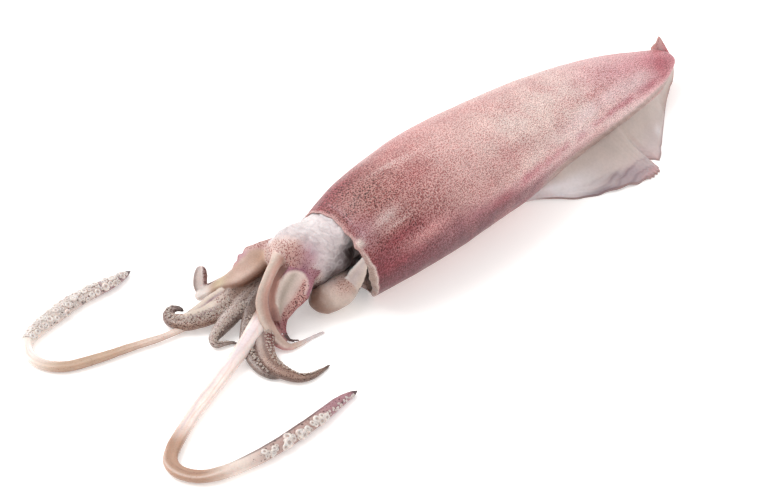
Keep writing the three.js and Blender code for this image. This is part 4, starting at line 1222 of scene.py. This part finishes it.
def suckerTree(material):
    tree = bpy.data.node_groups.new("suckerRows", "GeometryNodeTree")
    face = tree.interface
    face.new_socket("Points", in_out="INPUT", socket_type="NodeSocketGeometry")
    for label, kind in (("Ring Thickness", "Float"), ("Ring Sides", "Int"), ("Size Spread", "Float"),
                        ("Seed", "Int"), ("Pit Depth", "Float")):
        face.new_socket(label, in_out="INPUT", socket_type="NodeSocket" + kind)
    face.new_socket("Suckers", in_out="OUTPUT", socket_type="NodeSocketGeometry")
    given = addNode(tree, "NodeGroupInput").outputs
    # the ring
    path = addNode(tree, "GeometryNodeCurvePrimitiveCircle", {"Radius": suckerRing["radius"]},
                   Resolution=given["Ring Sides"])
    profile = addNode(tree, "GeometryNodeCurvePrimitiveCircle", {"Resolution": suckerRing["profileSides"]},
                      Radius=given["Ring Thickness"])
    ring = addNode(tree, "GeometryNodeCurveToMesh", Curve=path.outputs["Curve"],
                   Profile_Curve=profile.outputs["Curve"])
    ring = addNode(tree, "GeometryNodeStoreNamedAttribute", {"data_type": "FLOAT", "Name": "pit"},
                   Geometry=ring.outputs["Mesh"])
    # the sunken middle
    fan = {"fill_type": "TRIANGLE_FAN", "Radius": suckerRing["pitRadius"]}
    disc = addNode(tree, "GeometryNodeMeshCircle", fan, Vertices=given["Ring Sides"])
    sink = addNode(tree, "ShaderNodeCombineXYZ", Z=given["Pit Depth"])
    disc = addNode(tree, "GeometryNodeTransform", Geometry=disc.outputs["Mesh"], Translation=sink.outputs[0])
    disc = addNode(tree, "GeometryNodeStoreNamedAttribute",
                   {"data_type": "FLOAT", "Name": "pit", "Value": 1.0}, Geometry=disc.outputs[0])
    cup = addNode(tree, "GeometryNodeJoinGeometry", Geometry=ring.outputs["Geometry"])
    tree.links.new(disc.outputs["Geometry"], cup.inputs["Geometry"])
    # one on every point, each a little larger or smaller
    facing = addNode(tree, "GeometryNodeInputNamedAttribute", {"data_type": "FLOAT_VECTOR", "Name": "facing"})
    turn = addNode(tree, "FunctionNodeAlignRotationToVector", {"axis": "Z"},
                   Vector=facing.outputs["Attribute"])
    width = addNode(tree, "GeometryNodeInputNamedAttribute", {"data_type": "FLOAT", "Name": "width"})
    low = addNode(tree, "ShaderNodeMath", {"operation": "SUBTRACT", 0: 1.0}, _1=given["Size Spread"])
    high = addNode(tree, "ShaderNodeMath", {"operation": "ADD", 0: 1.0}, _1=given["Size Spread"])
    lot = addNode(tree, "FunctionNodeRandomValue", {"data_type": "FLOAT"}, _2=low.outputs[0],
                  _3=high.outputs[0], Seed=given["Seed"])
    size = addNode(tree, "ShaderNodeMath", {"operation": "MULTIPLY"}, _0=width.outputs["Attribute"],
                   _1=lot.outputs[1])
    rows = addNode(tree, "GeometryNodeInstanceOnPoints", Points=given["Points"],
                   Instance=cup.outputs["Geometry"], Rotation=turn.outputs["Rotation"], Scale=size.outputs[0])
    solid = addNode(tree, "GeometryNodeRealizeInstances", Geometry=rows.outputs["Instances"])
    named = addNode(tree, "GeometryNodeSetMaterial", {"Material": material},
                    Geometry=solid.outputs["Geometry"])
    smooth = addNode(tree, "GeometryNodeSetShadeSmooth", Geometry=named.outputs["Geometry"])
    addNode(tree, "NodeGroupOutput", Suckers=smooth.outputs[0])
    return tree


def suckerSeats(limbs):  # points on each limb's face, with the way that they look and their half width
    seats = []
    lots = np.random.default_rng(suckerRing["seed"])
    for route, face, size, begin, end, count, rows, widest, uneven in limbs:
        t = mix(begin, end, share((np.arange(count) + uneven * lots.uniform(-1.5, 1.5, count)) / (count - 1)))
        centre, across, look = limbFrame(route, face, t)
        half, thick = size(t)
        for i in range(count):
            shift = uneven * lots.uniform(-0.25, 0.25)
            row = float(np.clip(rows[i % len(rows)] + shift, -0.96, 0.96))
            rise = math.sqrt(max(1 - row * row, 0))
            facing = unit(look[i] / thick[i] * rise + across[i] * row / half[i])
            width = min(widest, half[i] * 0.42) * (1 + uneven * lots.uniform(-0.5, 0.35))
            seats.append((centre[i] + across[i] * row * half[i] + look[i] * thick[i] * rise, facing, width))
    return seats


def suckerPiece(name, seats, material):
    cloud = bpy.data.meshes.new(name + "Seats")
    places, facings, widths = (np.array(values) for values in zip(*seats))
    cloud.from_pydata(placed(places).tolist(), [], [])
    facing = cloud.attributes.new("facing", "FLOAT_VECTOR", "POINT")
    facing.data.foreach_set("vector", facings.ravel())
    width = cloud.attributes.new("width", "FLOAT", "POINT")
    width.data.foreach_set("value", widths * mm)
    host = objectOf(name + "Host", cloud)
    rows = host.modifiers.new("rows", "NODES")
    rows.node_group = suckerTree(material)
    values = {"Ring Thickness": suckerRing["thickness"], "Ring Sides": suckerRing["sides"],
              "Size Spread": suckerRing["spread"], "Seed": suckerRing["seed"],
              "Pit Depth": suckerRing["pitDepth"]}
    for item in rows.node_group.interface.items_tree:
        if item.name in values and item.in_out == "INPUT":
            rows[item.identifier] = values[item.name]
    mesh = evaluatedMesh(host, name)
    print(name, len(seats), "suckers", len(mesh.polygons), "faces")
    return mesh


def onSquid(name, mesh, material):
    if not mesh.materials:
        mesh.materials.append(material)
    piece = objectOf(name, mesh)
    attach(piece, "root")
    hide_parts("squid")


nearSheet = sheet(fins["columns"], fins["nearRows"], nearFinSurface, nearFinPaint)
farSheet = sheet(fins["columns"], fins["farRows"], farFinSurface, farFinPaint)
headParts = [headPart(), *[ballPart(*ball) for ball in (*head["eyes"], head["throat"])]]
headParts += [armPart(arm) for arm in arms]
print("arms and folds:", ", ".join(arm["name"] for arm in arms))
onSquid("mantle", skinned("mantle", mantlePart(), mantleRelief), mantleSkin)
onSquid("nearFin", skinned("nearFin", nearSheet, finRelief), finFlesh)
onSquid("farFin", skinned("farFin", farSheet, finRelief), finFlesh)
onSquid("headAndArms", fused("headAndArms", headParts, head, headRelief, soft=headSoftness), headSkin)
onSquid("funnel", fused("funnel", [funnelPart(), flapPart()], funnel, headRelief), headSkin)
for one in tentacles:
    onSquid(one["name"], skinned(one["name"], tentaclePart(one), limbRelief), stalkSkin)
print("flesh built")

clubSeats = suckerSeats([(one["route"], [up, up], tentacleSize(one), *row, clubSuckers["uneven"])
                         for one in tentacles for row in one["suckers"]])
armSeats = suckerSeats([(arm["route"], arm["face"], limbSize(arm["route"], arm["thickness"]),
                         armSuckers["begin"], armSuckers["end"], *arm["suckers"],
                         armSuckers["widest"], armSuckers["uneven"])
                        for arm in arms if "suckers" in arm])
clubFlesh = suckerMaterial("paleSuckerFlesh", "#b39b92", "#fbf1ea", "#b39c93")
armFlesh = suckerMaterial("brownSuckerFlesh", "#9c877c", "#cdbbb0", "#7a655b")
onSquid("clubSuckers", suckerPiece("clubSuckers", clubSeats, clubFlesh), clubFlesh)
onSquid("armSuckers", suckerPiece("armSuckers", armSeats, armFlesh), armFlesh)
print("suckers built")

# Table: plain and pale, with a little glow of its own that keeps it white in the soft light
table = {"size": 3.0, "colour": "#f4f1ef", "glowColour": (1, 0.985, 0.975, 1), "glow": 0.3, "roughness": 0.6}


def tableMaterial():
    material = bpy.data.materials.new("litWhiteTable")
    material.use_nodes = True
    surface = material.node_tree.nodes["Principled BSDF"]
    surface.inputs["Base Color"].default_value = opaque(table["colour"])
    surface.inputs["Roughness"].default_value = table["roughness"]
    surface.inputs["Emission Color"].default_value = table["glowColour"]
    surface.inputs["Emission Strength"].default_value = table["glow"]
    return material


half = table["size"] / 2
ground = bpy.data.meshes.new("table")
corners = [(-half, -half, 0), (half, -half, 0), (half, half, 0), (-half, half, 0)]
ground.from_pydata(corners, [], [(0, 1, 2, 3)])
ground.materials.append(tableMaterial())
objectOf("table", ground)

# Soft studio light: a bright room and one large soft box over the tail's side
light = {"room": 0.98, "box": 1.1, "boxPower": 14.0, "boxPlace": (-0.35, 0.75, 1.1)}
scene = bpy.context.scene
scene.world = bpy.data.worlds.new("room")
scene.world.use_nodes = True
background = scene.world.node_tree.nodes["Background"]
background.inputs["Color"].default_value = (1, 1, 1, 1)
background.inputs["Strength"].default_value = light["room"]
lamp = bpy.data.lights.new("softBox", "AREA")
lamp.shape = "SQUARE"
lamp.size = light["box"]
lamp.energy = light["boxPower"]
box = objectOf("softBox", lamp)
box.location = light["boxPlace"]
box.rotation_euler = Vector(light["boxPlace"]).to_track_quat("Z", "Y").to_euler()
scene.view_settings.view_transform = "Standard"

# Camera: a long lens from 36 degrees above the table. Distances are mm from the collar's centre.
shot = {
    "azimuth": -48.257, "elevation": 36.0, "distance": 1100.0, "target": (36.57, 7.84, 0.0),
    "focalPixels": 2641.0, "photoWidth": 781, "sensor": 36.0, "clipStart": 0.05,
}
camera = bpy.data.cameras.new("camera")
camera.sensor_width = shot["sensor"]
camera.lens = shot["focalPixels"] / shot["photoWidth"] * shot["sensor"]
camera.clip_start = shot["clipStart"]
eye = objectOf("camera", camera)
azimuth, elevation = math.radians(shot["azimuth"]), math.radians(shot["elevation"])
back = Vector((math.sin(azimuth) * math.cos(elevation), -math.cos(azimuth) * math.cos(elevation),
               math.sin(elevation)))
eye.location = (Vector(shot["target"]) + Vector(collarCentre) + back * shot["distance"]) * mm
eye.rotation_euler = (-back).to_track_quat("-Z", "Y").to_euler()
scene.camera = eye
print("table, light and camera set")
